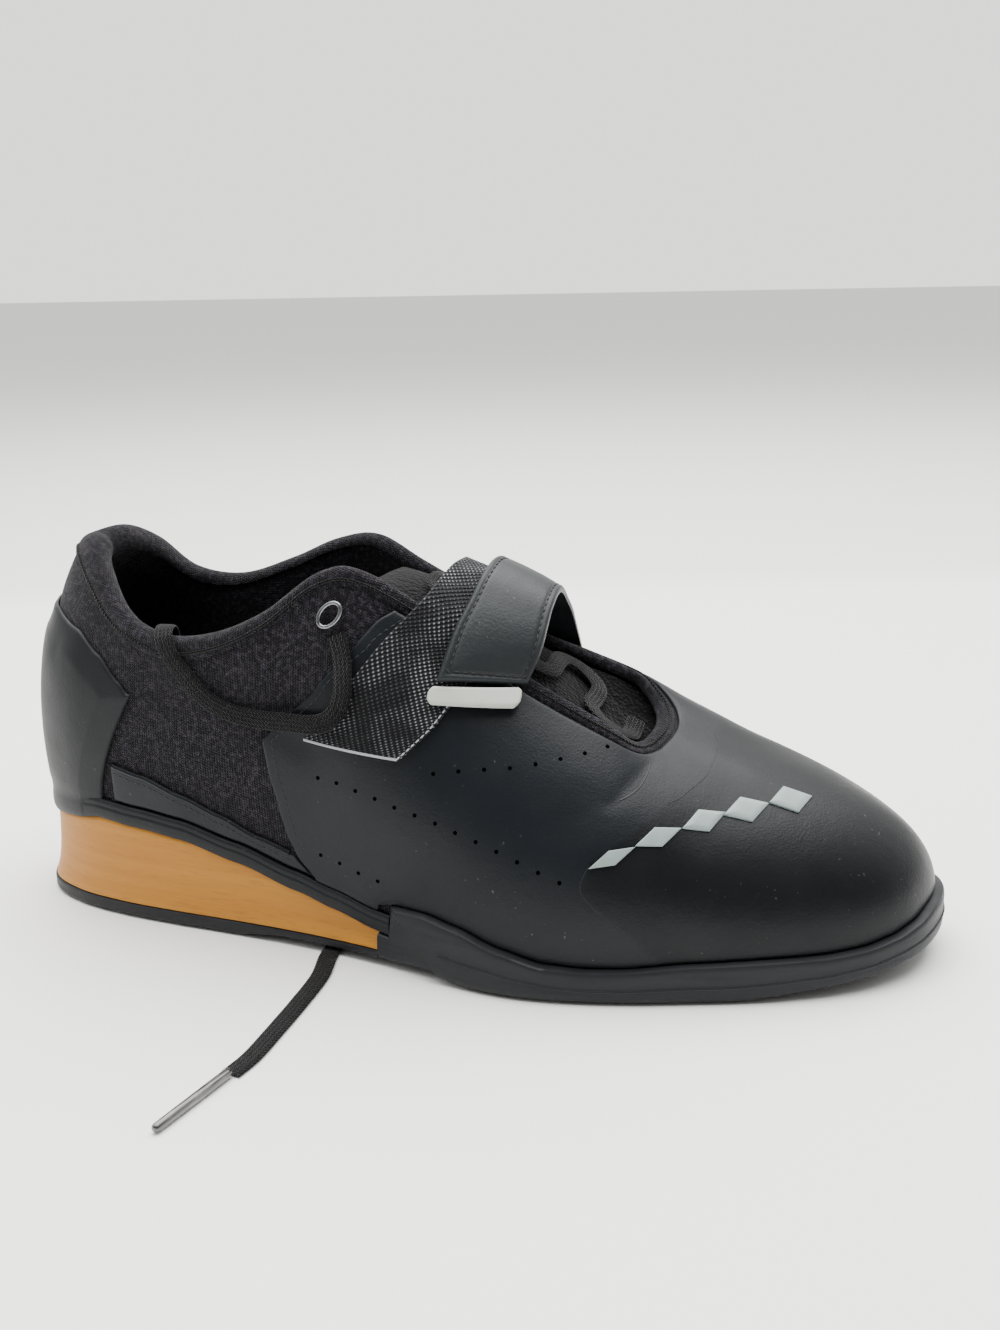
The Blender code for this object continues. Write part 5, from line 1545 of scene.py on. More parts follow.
@dataclass
class Overlays(Part):
    """Synthetic leather on the knit: vamp with its eyestays and toe, and a low rand on each quarter."""

    front: float = 9.0
    blends: int = 44
    middle: int = 230
    rows: int = 56
    edge_reach: float = 0.0011
    gap: float = 0.0003
    blend_gap: float = 0.0005
    binding_gap: float = 0.0008
    stitch_drop: float = 0.0026
    stitch_sink: float = 0.00005
    hole_radius: float = 0.00062
    lozenge_half: float = 0.0074
    lozenge_low: float = 0.0022
    lozenge_growth: float = 0.0007

    def build(self) -> None:
        """Make the vamp, the rands and what is stitched or punched in them."""
        self._vamp()
        for side in Side:
            self._rand(side)
        self._seams()
        self._holes()
        self._lozenges()

    def _edge_place(self, side: Side) -> tuple[Array, Array]:
        """Heights and places of the vamp's rear edge on one side.

        Args:
            side: Side of the shoe.

        Returns:
            Heights, and the edge's place at each.
        """
        z = np.linspace(0.10, 1.02, 160) * self.sizes.collar_height
        x = self.sizes.length * table_at(VAMP_EDGE, z / self.sizes.collar_height)
        return z, self.skin.place_on(side, x, z)[0]

    def _levels(self, place: Array) -> tuple[Array, Array]:
        """Shares of the vamp's rows at one place each, and their distance from its nearer edge.

        Args:
            place: Place round the shoe, counted in rows of WALLS.

        Returns:
            One row of shares and one of distances for each place.
        """
        height = self.skin.height_at(place)
        base = self.skin.at(place, 0.0)[..., 0]
        low = self.skin.share_at(place, self.foot_z(base) + 0.0002)
        high = 1 - (self.sizes.bead_width + self.binding_gap) / height
        span = (high - low) * height
        distance = edge_levels(span, self.rows, self.edge_reach)
        return low[:, None] + distance / height[:, None], np.minimum(distance, span[:, None] - distance)

    def _vamp(self) -> None:
        """The vamp from one rear edge round the toe to the other."""
        ahead = np.linspace(0, 1, self.middle + 2)[1:-1]
        middle = self.front + (SECTIONS - 2 * self.front) * ahead
        share_mid, near_mid = self._levels(middle)
        place_mid = np.broadcast_to(middle[:, None], share_mid.shape)
        grids = []
        for side in Side:
            end = self.front if side is Side.LATERAL else SECTIONS - self.front
            z_line, edge_line = self._edge_place(side)
            value = np.linspace(0, 1, self.blends) ** 1.5
            place = np.full((self.blends, share_mid.shape[1]), end)
            share, near = self._levels(place[:, 0])
            for _ in range(5):
                z = self.skin.at(place, share)[..., 2]
                edge = np.interp(z, z_line, edge_line)
                place = edge + (end - edge) * value[:, None]
                rows = [self._levels(place[:, k]) for k in range(place.shape[1])]
                share = np.stack([row[0][:, k] for k, row in enumerate(rows)], 1)
                near = np.stack([row[1][:, k] for k, row in enumerate(rows)], 1)
            points = self.skin.at(place, share)
            back = np.linalg.norm(points - points[:1], axis=2)
            near = np.minimum(near, back)
            lift = self.gap + self.blend_gap * (1 - value[:, None] ** 4)
            grids.append((place, share, near, np.broadcast_to(lift, share.shape)))
        lateral, medial = grids
        place = np.concatenate([lateral[0], place_mid, medial[0][::-1]])
        share = np.concatenate([lateral[1], share_mid, medial[1][::-1]])
        near = np.concatenate([lateral[2], near_mid, medial[2][::-1]])
        lift = np.concatenate([lateral[3], np.full(share_mid.shape, self.gap), medial[3][::-1]])
        self._lay("vamp_overlay", place, share, near, lift, "vamp")

    def _lay(
        self, name: str, place: Array, share: Array, near: Array, lift: Array, node: str
    ) -> None:
        """A sheet of the overlay with rounded edges over a grid of places and shares.

        Args:
            name: Name of the piece.
            place: Places of the grid.
            share: Shares of the wall's height.
            near: Distances from the sheet's edge.
            lift: Distances off the outer face.
            node: Solid that the piece stands for.
        """
        full = self.sizes.overlay * rounded(near, self.edge_reach)
        outer = self.skin.at(place, share, lift + full)
        along = arc_length(outer[:, outer.shape[1] // 2])
        uv = cloth_map(along[:, None], share * self.skin.height_at(place))
        piece = Loft(name, folded(outer, self.skin.at(place, share, lift))).build(folded(uv, uv))
        spots = np.empty(3 * len(piece.data.vertices))
        piece.data.vertices.foreach_get("co", spots)
        ahead = spots[0::3] + HEEL_SEAT - np.interp(spots[2::3], *FILM_EDGE)
        toe = piece.data.attributes.new("toe", "FLOAT", "POINT")
        toe.data.foreach_set("value", np.clip(ahead / 0.0008 + 0.5, 0, 1))
        self.keep(piece, "synthetic_leather", [LEATHER], node)

    def _rand(self, side: Side) -> None:
        """The strip between the rail and its piped upper edge.

        Args:
            side: Side of the shoe.
        """
        size = self.sizes
        rear = 0.1405 * size.length
        columns, rows = 90, 12
        value = np.linspace(0, 1, columns)[:, None]
        x = np.full((columns, 1), rear)
        x = np.broadcast_to(x, (columns, rows + 10)).copy()
        for _ in range(4):
            low = rail_z(x) + 2 * size.clearance
            high = size.collar_height * table_at(RAND_TOP, x / size.length)
            level = edge_levels((high - low)[:, 0], rows, 0.0008) / (high - low)[:, :1]
            z = low + (high - low) * level
            front = size.length * table_at(VAMP_EDGE, z / size.collar_height) - self.binding_gap
            x = rear + (front - rear) * value
        place, share = self.skin.place_on(side, x, z)
        points = self.skin.at(place, share)
        distance = level * (high - low)
        near = np.minimum(np.minimum(distance, (high - low) - distance), to_ends(points))
        name = "lateral" if side is Side.LATERAL else "medial"
        if side is Side.MEDIAL:
            place, share, near = place[::-1], share[::-1], near[::-1]
        self._lay(f"quarter_rand_{name}", place, share, near, np.full(share.shape, self.gap), f"rand_{name}")
        ridge = self.skin.at(place[2:-2, -3], share[2:-2, -3], self.gap + size.overlay)
        self.tube(f"rand_piping_{name}", ridge, 0.00075, "synthetic_leather", LEATHER)
        inner, height = place[3:-3, -3], share[3:-3, -3]
        below = self.skin.share_at(inner, self.skin.at(inner, height)[..., 2] - self.stitch_drop)
        row = self.skin.at(inner, below, self.gap + size.overlay - self.stitch_sink)
        self.stitches(f"rand_stitches_{name}", row, "synthetic_leather", 0.0023)

    def _top(self, side: Side, place: Array, share: Array, extra: float = 0.0) -> Array:
        """Points on the vamp's upper face.

        Args:
            side: Side of the shoe.
            place: Place round the shoe, counted in rows of WALLS.
            share: Share of the wall's height.
            extra: Distance above the face.

        Returns:
            Points from the heel back.
        """
        z_line, edge_line = self._edge_place(side)
        edge = np.interp(self.skin.at(place, share)[..., 2], z_line, edge_line)
        end = self.front if side is Side.LATERAL else SECTIONS - self.front
        value = np.clip((place - edge) / (end - edge), 0, 1)
        lift = self.gap + self.blend_gap * (1 - value**4) + self.sizes.overlay + extra
        return self.skin.at(place, share, lift)

    def _seams(self) -> None:
        """Stitch rows of the vamp, the toe film's edge and the short seam at the throat."""
        lift = self.gap + self.sizes.overlay
        for side in Side:
            z, place = self._edge_place(side)
            inwards = 0.20 if side is Side.LATERAL else -0.20
            show = (z > 0.33 * self.sizes.collar_height) & (z < 0.90 * self.sizes.collar_height)
            share = self.skin.share_at(place[show] + inwards, z[show])
            line = self._top(side, place[show] + inwards, share, -self.stitch_sink)
            self.stitches(f"vamp_stitches_{side.name.lower()}", line, "synthetic_leather", 0.0023)
        for name, points, samples, sink, radius, finish in SEAM_LINES:
            line = self.skin.at(*self.on_skin(points, samples), lift - sink)
            self.tube(name, line, radius, "synthetic_leather", finish)

    def _holes(self) -> None:
        """Small punched holes in three rows on each side, drawn as near-black prisms on the leather: painted
        shade for the holes' insides.
        """
        for side in Side:
            points, ways = [], []
            for row, count in HOLE_ROWS:
                place, share = self.on_skin(row, 90)
                if side is Side.MEDIAL:
                    place = SECTIONS - place
                run = arc_length(self.skin.at(place, share))
                even = np.linspace(0, run[-1], count)
                place, share = np.interp(even, run, place), np.interp(even, run, share)
                points.append(self._top(side, place, share))
                ways.append(self.skin.normal(place, share))
            spots, ways = np.concatenate(points), np.concatenate(ways)
            name = f"punched_holes_{side.name.lower()}"
            self.marks(name, spots, ways, "synthetic_leather", HOLE, 12, self.hole_radius, 0.0002)

    def _lozenges(self) -> None:
        """Plain raised lozenges on the outer side of the toe."""
        place, share = self.on_skin(LOZENGE_SPINE, 121)
        lift = self.gap + self.sizes.overlay
        turn = np.arange(48)[:, None] / 12
        u, v = (np.interp(turn, range(5), ends) for ends in ((1, 0, -1, 0, 1), (0, 1, 0, -1, 0)))
        for index, middle in enumerate((12, 34, 56, 78, 100)):
            half_long, half_high = self.lozenge_half, self.lozenge_low + self.lozenge_growth * index
            base = self.skin.at(place[middle], share[middle], 0.0)
            normal = self.skin.normal(place[middle], share[middle])
            along = unit(self.skin.at(place[middle + 6], share[middle + 6]) - base)
            high = np.cross(normal, along)
            loops = []
            for ring, rise in LOZENGE_STEPS:
                spots = base + along * (u * half_long * ring) + high * (v * half_high * ring)
                loops.append(self.skin.at(*self._drop(spots), lift + rise))
            piece = Loft(f"raised_lozenge_{index + 1}", np.array(loops)).build()
            self.keep(piece, "synthetic_leather", [RAISED_GREY])

    def _drop(self, spots: Array) -> tuple[Array, Array]:
        """Places and shares of the outer face nearest to spots, finer than its table.

        Args:
            spots: Points close to the outer face.

        Returns:
            Places and shares.
        """
        place, share = self.on_skin(spots / MM, len(spots))
        for _ in range(3):
            here = self.skin.at(place, share)
            by_place = self.skin.at(place + 0.05, share) - here
            by_share = self.skin.at(place, share + 0.01) - here
            off = spots - here
            place = place + 0.05 * (off * by_place).sum(1) / (by_place * by_place).sum(1)
            share = share + 0.01 * (off * by_share).sum(1) / (by_share * by_share).sum(1)
        return place, share


# Outsole's side, from its foot up: share of the height, and share of the rounded edge that draws it in
SIDE_ROWS = (
    (0.0, 1.0), (0.04, 0.42), (0.10, 0.1), (0.18, 0.0), (0.3, 0.0), (0.42, 0.0), (0.55, 0.0), (0.7, 0.0),
    (0.82, 0.0), (0.92, 0.1), (0.97, 0.35), (1.0, 1.0),
)
# Heel block, from its top down: share of the depth, share of the flare, and how far it is drawn in, in mm
WEDGE_ROWS = (
    (0.0, 0.0, 0.6), (0.015, 0.0, 0.15), (0.05, 0.01, 0.0), (0.12, 0.03, 0.0), (0.2, 0.05, 0.0),
    (0.35, 0.12, 0.0), (0.5, 0.2, 0.0), (0.65, 0.33, 0.0), (0.78, 0.5, 0.0), (0.88, 0.68, 0.0),
    (0.95, 0.85, 0.0), (1.0, 1.0, 0.2),
)
# Heel cup's rail, from its foot up: share of the height, and how far it stands out past the wall, in mm
RAIL_ROWS = (
    (0.0, 0.0), (0.04, 0.15), (0.12, 0.45), (0.3, 0.55), (0.5, 0.45), (0.62, 0.3), (0.66, 0.05),
    (0.72, 0.0), (0.85, -0.15), (0.94, -0.4), (1.0, -0.9),
)


@dataclass
class Sole(Part):
    """Rubber outsole, wood-print heel block, moulded heel cup and insole."""

    columns: int = 640
    edge: float = 0.0014
    crowding: float = 1.3  # places in a metre of rim at the waist, against their mean
    end_gap: float = 0.0006
    lug: float = 0.0007
    lug_pitch: float = 0.0052
    lug_radius: float = 0.0021
    thinning: float = 0.009
    heel_spacing: float = 0.019  # metres of rim in one place, round the heel

    def build(self) -> None:
        """Make the outsole and its tread, the heel block, the heel cup and the insole."""
        self._outsole()
        self._wedge()
        self._rail()
        self._counter()
        self._insole()

    def _pairs(self, places: Array) -> Array:
        """For each place, the number of its pair on the other side."""
        return np.array([np.argmin(np.abs((SECTIONS - p) % SECTIONS - places)) for p in places])

    def _mirror(self, grid: Array, places: Array) -> Array:
        """Midline points between each column and its pair on the other side, at the same row."""
        return (grid + grid[self._pairs(places)]) / 2

    def _outsole(self) -> None:
        """Outsole: tread, sidewall with its flange, and the bed inside it."""
        size, skin = self.sizes, self.skin
        foot = float(skin.place_at(Side.LATERAL, size.wedge_front - size.wedge_slant + self.end_gap))
        head = float(skin.place_at(Side.LATERAL, size.wedge_front + self.end_gap))
        step = float(skin.place_at(Side.LATERAL, size.wedge_front + 2 * self.end_gap))
        lip = float(skin.place_at(Side.LATERAL, size.wedge_front + 5 * self.end_gap))
        half = np.linspace(0, TOE, self.columns // 2 + 1)
        extra = np.array([foot, foot + 0.01, head, step, (step + lip) / 2, lip])
        half = np.unique(np.concatenate([half[(half < foot - 0.02) | (half > lip + 0.02)], extra]))
        places = np.concatenate([half, SECTIONS - half[-2:0:-1]])
        near = from_heel(places)
        sign = np.where(places <= TOE, 1.0, -1.0)
        x = skin.at(places, 0.0)[:, 0]
        bottom = bottom_z(x) + self.lug
        rear, ramp = near < foot + 0.001, near < head + 0.001
        top = np.where(rear, size.outsole_rear, np.where(ramp, wedge_top_z(x), sidewall_z(x)))
        floor = np.where(rear, size.outsole_rear, np.where(ramp, wedge_top_z(x), seat_z(x)))
        run = size.flange_slant / size.length * TOE * self.crowding
        outer = []
        for level, inset in SIDE_ROWS:
            draw = inset * self.edge
            z = bottom + (top - bottom) * level
            fade = np.clip((TOE - 4 - near) / (TOE - 4 - step), 0, 1)
            shifted = np.where(near > step - 0.001, near + run * (1 - level) * fade, near)
            here = np.where(sign > 0, shifted, SECTIONS - shifted)
            reach = skin.welt(here) - draw
            flange = np.clip((TOE - 5 - near) / 3, 0, 1) * size.flange_step
            grown = flange * np.clip((near - step) / (lip - step), 0, 1)
            full = reach + np.where(near > lip - 0.001, flange, grown)
            outer.append(skin.rim(here, z, np.where(near < step - 0.001, reach, full)))
        outer = np.stack(outer, 1)
        inner = []
        for row in range(5):
            z = top + (floor - top) * row / 4
            on_wall = skin.hug(places, np.maximum(z, floor + 1e-5), size.clearance)
            flat = skin.rim(places, z, skin.welt(places) - 0.0012 - row * 0.0012)
            inner.append(np.where((near > head + 0.001)[:, None], on_wall, flat))
        inner = np.stack(inner, 1)
        middle_top = self._mirror(inner[:, -1], places)
        middle_low = self._mirror(outer[:, 0], places)
        fan = np.linspace(0, 1, 6)[1:, None, None]
        bed = (inner[:, -1][None] * (1 - fan) + middle_top[None] * fan).transpose(1, 0, 2)
        tread = (outer[:, 0][None] * (1 - fan[::-1]) + middle_low[None] * fan[::-1]).transpose(1, 0, 2)
        columns = np.concatenate([tread, outer, inner, bed], 1)
        piece = open_columns("rubber_outsole", columns)
        self.keep(piece, "rubber", [OUTSOLE_RUBBER], "outsole")
        self._tread(places, outer[:, 0])
        front = near > lip + 0.3
        line = outer[front, 5] + skin.out(places[front]) * 0.00005
        self.tube("sidewall_line", line, 0.00035, "rubber", OUTSOLE_RUBBER)

    def _tread(self, places: Array, rim: Array) -> None:
        """Small six-sided lugs all over the sole.

        Args:
            places: Places of the sole's rim.
            rim: Points of the rim.
        """
        pitch = self.lug_pitch
        outer_side = places <= TOE
        left, right = rim[outer_side], rim[self._pairs(places)[outer_side]]
        order = np.argsort(left[:, 0])
        left, right = left[order], right[order]
        right = right[np.argsort(right[:, 0])]
        dots = []
        for i, x in enumerate(np.arange(0.006, self.sizes.length - 0.004, pitch * 0.866)):
            low = np.interp(x, left[:, 0], left[:, 1]) + 0.003
            high = np.interp(x, right[:, 0], right[:, 1]) - 0.003
            start = -0.06 + (pitch / 2 if i % 2 else 0.0)
            for y in np.arange(start, 0.07, pitch):
                if low < y < high:
                    dots.append((x, y, float(bottom_z(x)) + self.lug / 2 + 0.0001))
        ways, depth = np.tile((0.0, 0.0, 1.0), (len(dots), 1)), self.lug + 0.0002
        self.marks("tread_lugs", np.array(dots), ways, "rubber", OUTSOLE_RUBBER, 6, self.lug_radius, depth)

    def _wedge(self) -> None:
        """Heel block that flares to the outsole, its front slanting."""
        size, skin = self.sizes, self.skin
        front = float(skin.place_at(Side.LATERAL, size.wedge_front + 0.8 * self.end_gap))
        foot = float(skin.place_at(Side.LATERAL, size.wedge_front + 0.8 * self.end_gap - size.wedge_slant))
        half = np.concatenate([np.linspace(0, front - 0.05, 150), [front - 0.02, front]])
        places = np.concatenate([SECTIONS - half[:0:-1], half])
        near = from_heel(places)
        sign = places <= TOE
        x = skin.at(places, 0.0)[:, 0]
        high, low = wedge_top_z(x), size.outsole_rear + size.clearance
        loops = []
        for depth, flare, draw in WEDGE_ROWS:
            here = near - (front - foot) * depth * np.clip(1 - (front - near), 0, None)
            spot = np.where(sign, here, SECTIONS - here)
            welt = skin.welt(spot) - 0.0004
            reach = size.wedge_top_inset + (welt - size.wedge_top_inset) * flare - draw * MM
            loops.append(skin.rim(spot, high + (low - high) * depth, reach))
        piece = Loft("wood_print_heel", np.array(loops)).build()
        self.keep(piece, "wood_print", [WEDGE_PRINT], "heel_wedge")

    def _rail(self) -> None:
        """Heel cup's plate and the rail along both sides."""
        size, skin = self.sizes, self.skin
        front = float(skin.place_at(Side.LATERAL, size.wedge_front + 0.8 * self.end_gap))
        half = np.linspace(0, front, 170)
        places = np.concatenate([SECTIONS - half[:0:-1], half])
        x = skin.at(places, 0.0)[:, 0]
        low, high, seat = wedge_top_z(x) + size.clearance, rail_z(x), seat_z(x)
        off = size.clearance + size.cup_wall
        loops = []
        for level, lift in RAIL_ROWS:
            base = skin.hug(places, low + (high - low) * level, off + lift * MM)
            if level == 0.0:
                base = skin.rim(places, low, size.wedge_top_inset + 0.0002)
            loops.append(base)
        for level in (1.0, 0.6, 0.3, 0.0):
            loops.append(skin.hug(places, seat + (high - seat) * level, size.clearance))
        stack = np.array(loops)
        middle_top, middle_low = self._across(stack[-1]), self._across(stack[0])
        grid = np.concatenate([middle_low[None], stack, middle_top[None]]).transpose(1, 0, 2)
        piece = Loft("heel_cup_rail", grid).build()
        self.keep(piece, "moulded_plastic", [CUP_FILM], "heel_cup")

    def _across(self, row: Array) -> Array:
        """Points of a row pulled to the midline between its two sides."""
        middle = (row + row[::-1]) / 2
        return row + (middle - row) * 0.999

    def _counter(self) -> None:
        """Heel counter, leaning forward at both ends, up to a thin edge."""
        size, skin = self.sizes, self.skin
        end = float(skin.place_at(Side.LATERAL, size.counter_front))
        reach = size.counter_reach / self.heel_spacing
        value = np.linspace(-1, 1, 181)
        value = np.sign(value) * (1 - (1 - np.abs(value)) ** 1.25)
        near = (np.abs(value) * end)[:, None]
        sign = (value >= 0)[:, None]
        lean = reach * np.abs(value)[:, None] ** 1.6
        spot0 = np.where(sign, near, SECTIONS - near)
        x = skin.at(spot0, 0.0)[..., 0]
        low, high = wedge_top_z(x) + size.clearance, rail_z(x)
        crown = near + lean
        crown_x = skin.at(np.where(sign, crown, SECTIONS - crown), 0.7)[..., 0]
        top = size.collar_height * table_at(COUNTER_TOP, crown_x / size.length)
        rail = np.array((0.0, 0.12, 0.3, 0.5, 0.62, 0.7, 0.85, 1.0))[None, :]
        share = np.concatenate([np.linspace(0.04, 0.96, 40), (0.975, 0.985, 0.993, 0.998, 1.0)])[None, :]
        z = np.concatenate([low + (high - low) * rail, high + (top - high) * share], 1)
        bend = np.concatenate([np.zeros(rail.shape), share**1.5], 1)
        leaned = near + lean * bend
        spot = np.where(sign, leaned, SECTIONS - leaned)
        points = skin.hug(spot, z, 0.0)
        ends = to_ends(points)
        rim = np.minimum(ends, np.linalg.norm(points - points[:, -1:], axis=2))
        thick = size.cup_edge + (size.cup_wall - size.cup_edge) * np.clip(rim / self.thinning, 0, 1)
        thick = thick * rounded(rim, 0.0009)
        swell = np.concatenate([(0.0, 0.45, 0.6, 0.5, 0.3, 0.12, 0.0, 0.0), np.zeros(share.shape[1])])
        gap = np.where(z > high, 0.0005, 0.0003)
        outer = skin.hug(spot, z, gap + thick + swell[None, :] * MM * rounded(ends, 0.003) + 0.0001)
        piece = Loft("heel_counter", folded(outer, skin.hug(spot, z, gap))).build()
        self.keep(piece, "moulded_plastic", [CUP_FILM], "heel_cup")

    def _insole(self) -> None:
        """Sock liner on the seat."""
        size, skin = self.sizes, self.skin
        half = np.linspace(0, TOE, 161)
        places = np.concatenate([half, SECTIONS - half[-2:0:-1]])
        seat = seat_z(skin.at(places, 0.0)[:, 0]) + size.clearance
        inside = -(size.wall + 2 * size.clearance)
        rows = [skin.rim(places, seat, inside - 0.0006)]
        for rise, draw in ((0.3, 0.0), (0.75, 0.0), (0.95, 0.4), (1.0, 1.2), (1.0, 4.0)):
            rows.append(skin.rim(places, seat + size.insole * rise, inside - draw * MM))
        outer = np.stack(rows, 1)
        low, high = self._mirror(outer[:, 0], places), self._mirror(outer[:, -1], places)
        fan = np.linspace(0, 1, 8)[1:, None, None]
        bed = (outer[:, -1][None] * (1 - fan) + high[None] * fan).transpose(1, 0, 2)
        columns = np.concatenate([low[:, None], outer, bed], 1)
        piece = open_columns("sock_liner", columns)
        self.keep(piece, "lining", [LINING], "insole")


def open_columns(name: str, columns: Array) -> Piece:
    """Solid from columns of points round the shoe, whose two ends meet on the midline.

    Args:
        name: Name of the piece.
        columns: Array of columns, points and coordinates.

    Returns:
        The object, shaded smooth.
    """
    faces = grid_faces(columns.shape[0], columns.shape[1], True, False)
    piece = make_object(name, columns, faces)
    face_out(piece)
    smooth(piece, 35)
    return piece


@dataclass
class Tongue(Part):
    """Padded spacer-mesh tongue under the edges of the throat."""

    thickness: float = 0.005
    overlap: float = 0.007
    edge_drop: float = 0.0006
    sink: float = 0.0005
    tail: tuple[tuple[float, float], ...] = ((0.0055, -0.0030), (0.0065, -0.0025), (0.0065, -0.0022))

    def section(self, x: Any, z: Any, depth: float) -> Array:
        """Points across the tongue at each x, from the outer side's edge to the inner's.

        Args:
            x: Distance from the heel back, in metres.
            z: Height of the middle at each x.
            depth: Distance below the upper face.

        Returns:
            Seven points for each x.
        """
        size, skin = self.sizes, self.skin
        x, z = np.asarray(x, float), np.asarray(z, float)
        sides = {}
        for side in Side:
            place = skin.place_at(side, x, 1.0)
            inside = size.wall + size.bead + size.collar_pad * skin.pad(place) + 2 * size.clearance
            edge = skin.at(place, 1.0, -inside - depth)
            share = 1 - self.overlap / skin.height_at(place)
            under = skin.at(place, share, -inside - self.edge_drop - depth * 0.7)
            sides[side] = (under, edge)
        middle = np.stack([x, 0 * x, z - depth], -1)
        rows = [sides[Side.LATERAL][0], sides[Side.LATERAL][1]]
        for share in (0.45, 1.0, 0.45):
            edge = sides[Side.LATERAL if len(rows) < 3 else Side.MEDIAL][1]
            lift = 1 - (1 - share) ** 2
            z_here = edge[..., 2] + (middle[..., 2] - edge[..., 2]) * lift
            rows.append(np.stack([x, edge[..., 1] * (1 - share), z_here], -1))
        return np.stack(rows + [sides[Side.MEDIAL][1], sides[Side.MEDIAL][0]], -2)

    def build(self) -> None:
        """Make the tongue, thinner towards its edges."""
        line = np.array(TONGUE_LINE) * np.array((self.sizes.length, self.sizes.collar_height))
        faces = []
        for depth in (0.0, self.thickness):
            rows = self.section(line[:, 0], line[:, 1], depth + self.sink)
            for forward, down in self.tail:
                rows = np.concatenate([rows, rows[-1:] + np.array((forward, 0.0, down))])
            along = np.stack([open_curve(rows[:, k], 110) for k in range(rows.shape[1])], 1)
            faces.append(np.stack([open_curve(row, 60) for row in along]))
        top, low = faces
        middle, half = (top + low) / 2, (top - low) / 2
        across = np.minimum(np.arange(60), 59 - np.arange(60)) / 6
        ends = np.minimum(np.arange(110), 109 - np.arange(110)) / 4
        full = np.sqrt(np.clip(1 - (1 - np.clip(across, 0, 1)) ** 2, 0.04, 1))[None, :]
        full = full * np.sqrt(np.clip(1 - (1 - np.clip(ends, 0, 1)) ** 2, 0.04, 1))[:, None]
        half = half * full[..., None]
        piece = Loft("padded_tongue", folded(middle + half, middle - half)).build()
        self.keep(piece, "spacer_mesh", [MESH_CLOTH], "tongue")

    def top(self, x: Array, y: Array) -> Array:
        """Height of the tongue's upper face.

        Args:
            x: Distance from the heel back, in metres.
            y: Distance from the midline.

        Returns:
            Height above the floor.
        """
        line = np.array(TONGUE_LINE) * np.array((self.sizes.length, self.sizes.collar_height))
        rows = self.section(x, np.interp(x, line[:, 0], line[:, 1]), 0.0)[..., 1:-1, :]
        return np.array([np.interp(b, row[:, 1], row[:, 2]) for b, row in zip(np.asarray(y), rows)])


# Rear and front edge of the strap's bed: x, y, z of both, as shares of length, ball width, collar height
STRAP_ARCH = (
    (0.512, -0.314, 0.743, 0.592, -0.200, 0.724), (0.517, -0.275, 0.795, 0.598, -0.180, 0.758),
    (0.523, -0.217, 0.855, 0.605, -0.158, 0.798), (0.530, -0.156, 0.904, 0.607, -0.119, 0.840),
    (0.534, -0.083, 0.948, 0.607, -0.069, 0.874), (0.535, 0.000, 0.967, 0.605, 0.000, 0.888),
    (0.534, 0.083, 0.950, 0.602, 0.069, 0.873), (0.533, 0.156, 0.898, 0.602, 0.128, 0.833),
    (0.532, 0.200, 0.846, 0.604, 0.176, 0.787),
)
# The strap's way down the inner side: x of its rear and front edge, and share of the height there
STRAP_DOWN = (
    (0.530, 0.609, 0.93), (0.526, 0.607, 0.72), (0.520, 0.605, 0.48), (0.514, 0.603, 0.24),
    (0.510, 0.602, 0.0),
)
# The band on the outer side: x and z of its rear and front edge; then over the instep, as the strap's bed
BAND_SIDE = (
    (0.383, 0.592, 0.487, 0.564), (0.401, 0.645, 0.502, 0.600), (0.419, 0.697, 0.516, 0.635),
    (0.436, 0.757, 0.527, 0.675), (0.453, 0.818, 0.535, 0.710), (0.472, 0.878, 0.546, 0.755),
)
BAND_ARCH = (
    (0.489, -0.208, 0.925, 0.559, -0.206, 0.804), (0.497, -0.124, 0.960, 0.563, -0.142, 0.862),
    (0.502, -0.055, 0.978, 0.565, -0.073, 0.905), (0.505, 0.028, 0.976, 0.566, 0.018, 0.926),
)
# Both ends of the tab: x and z
TAB_ENDS = ((0.507, 0.711), (0.590, 0.686))


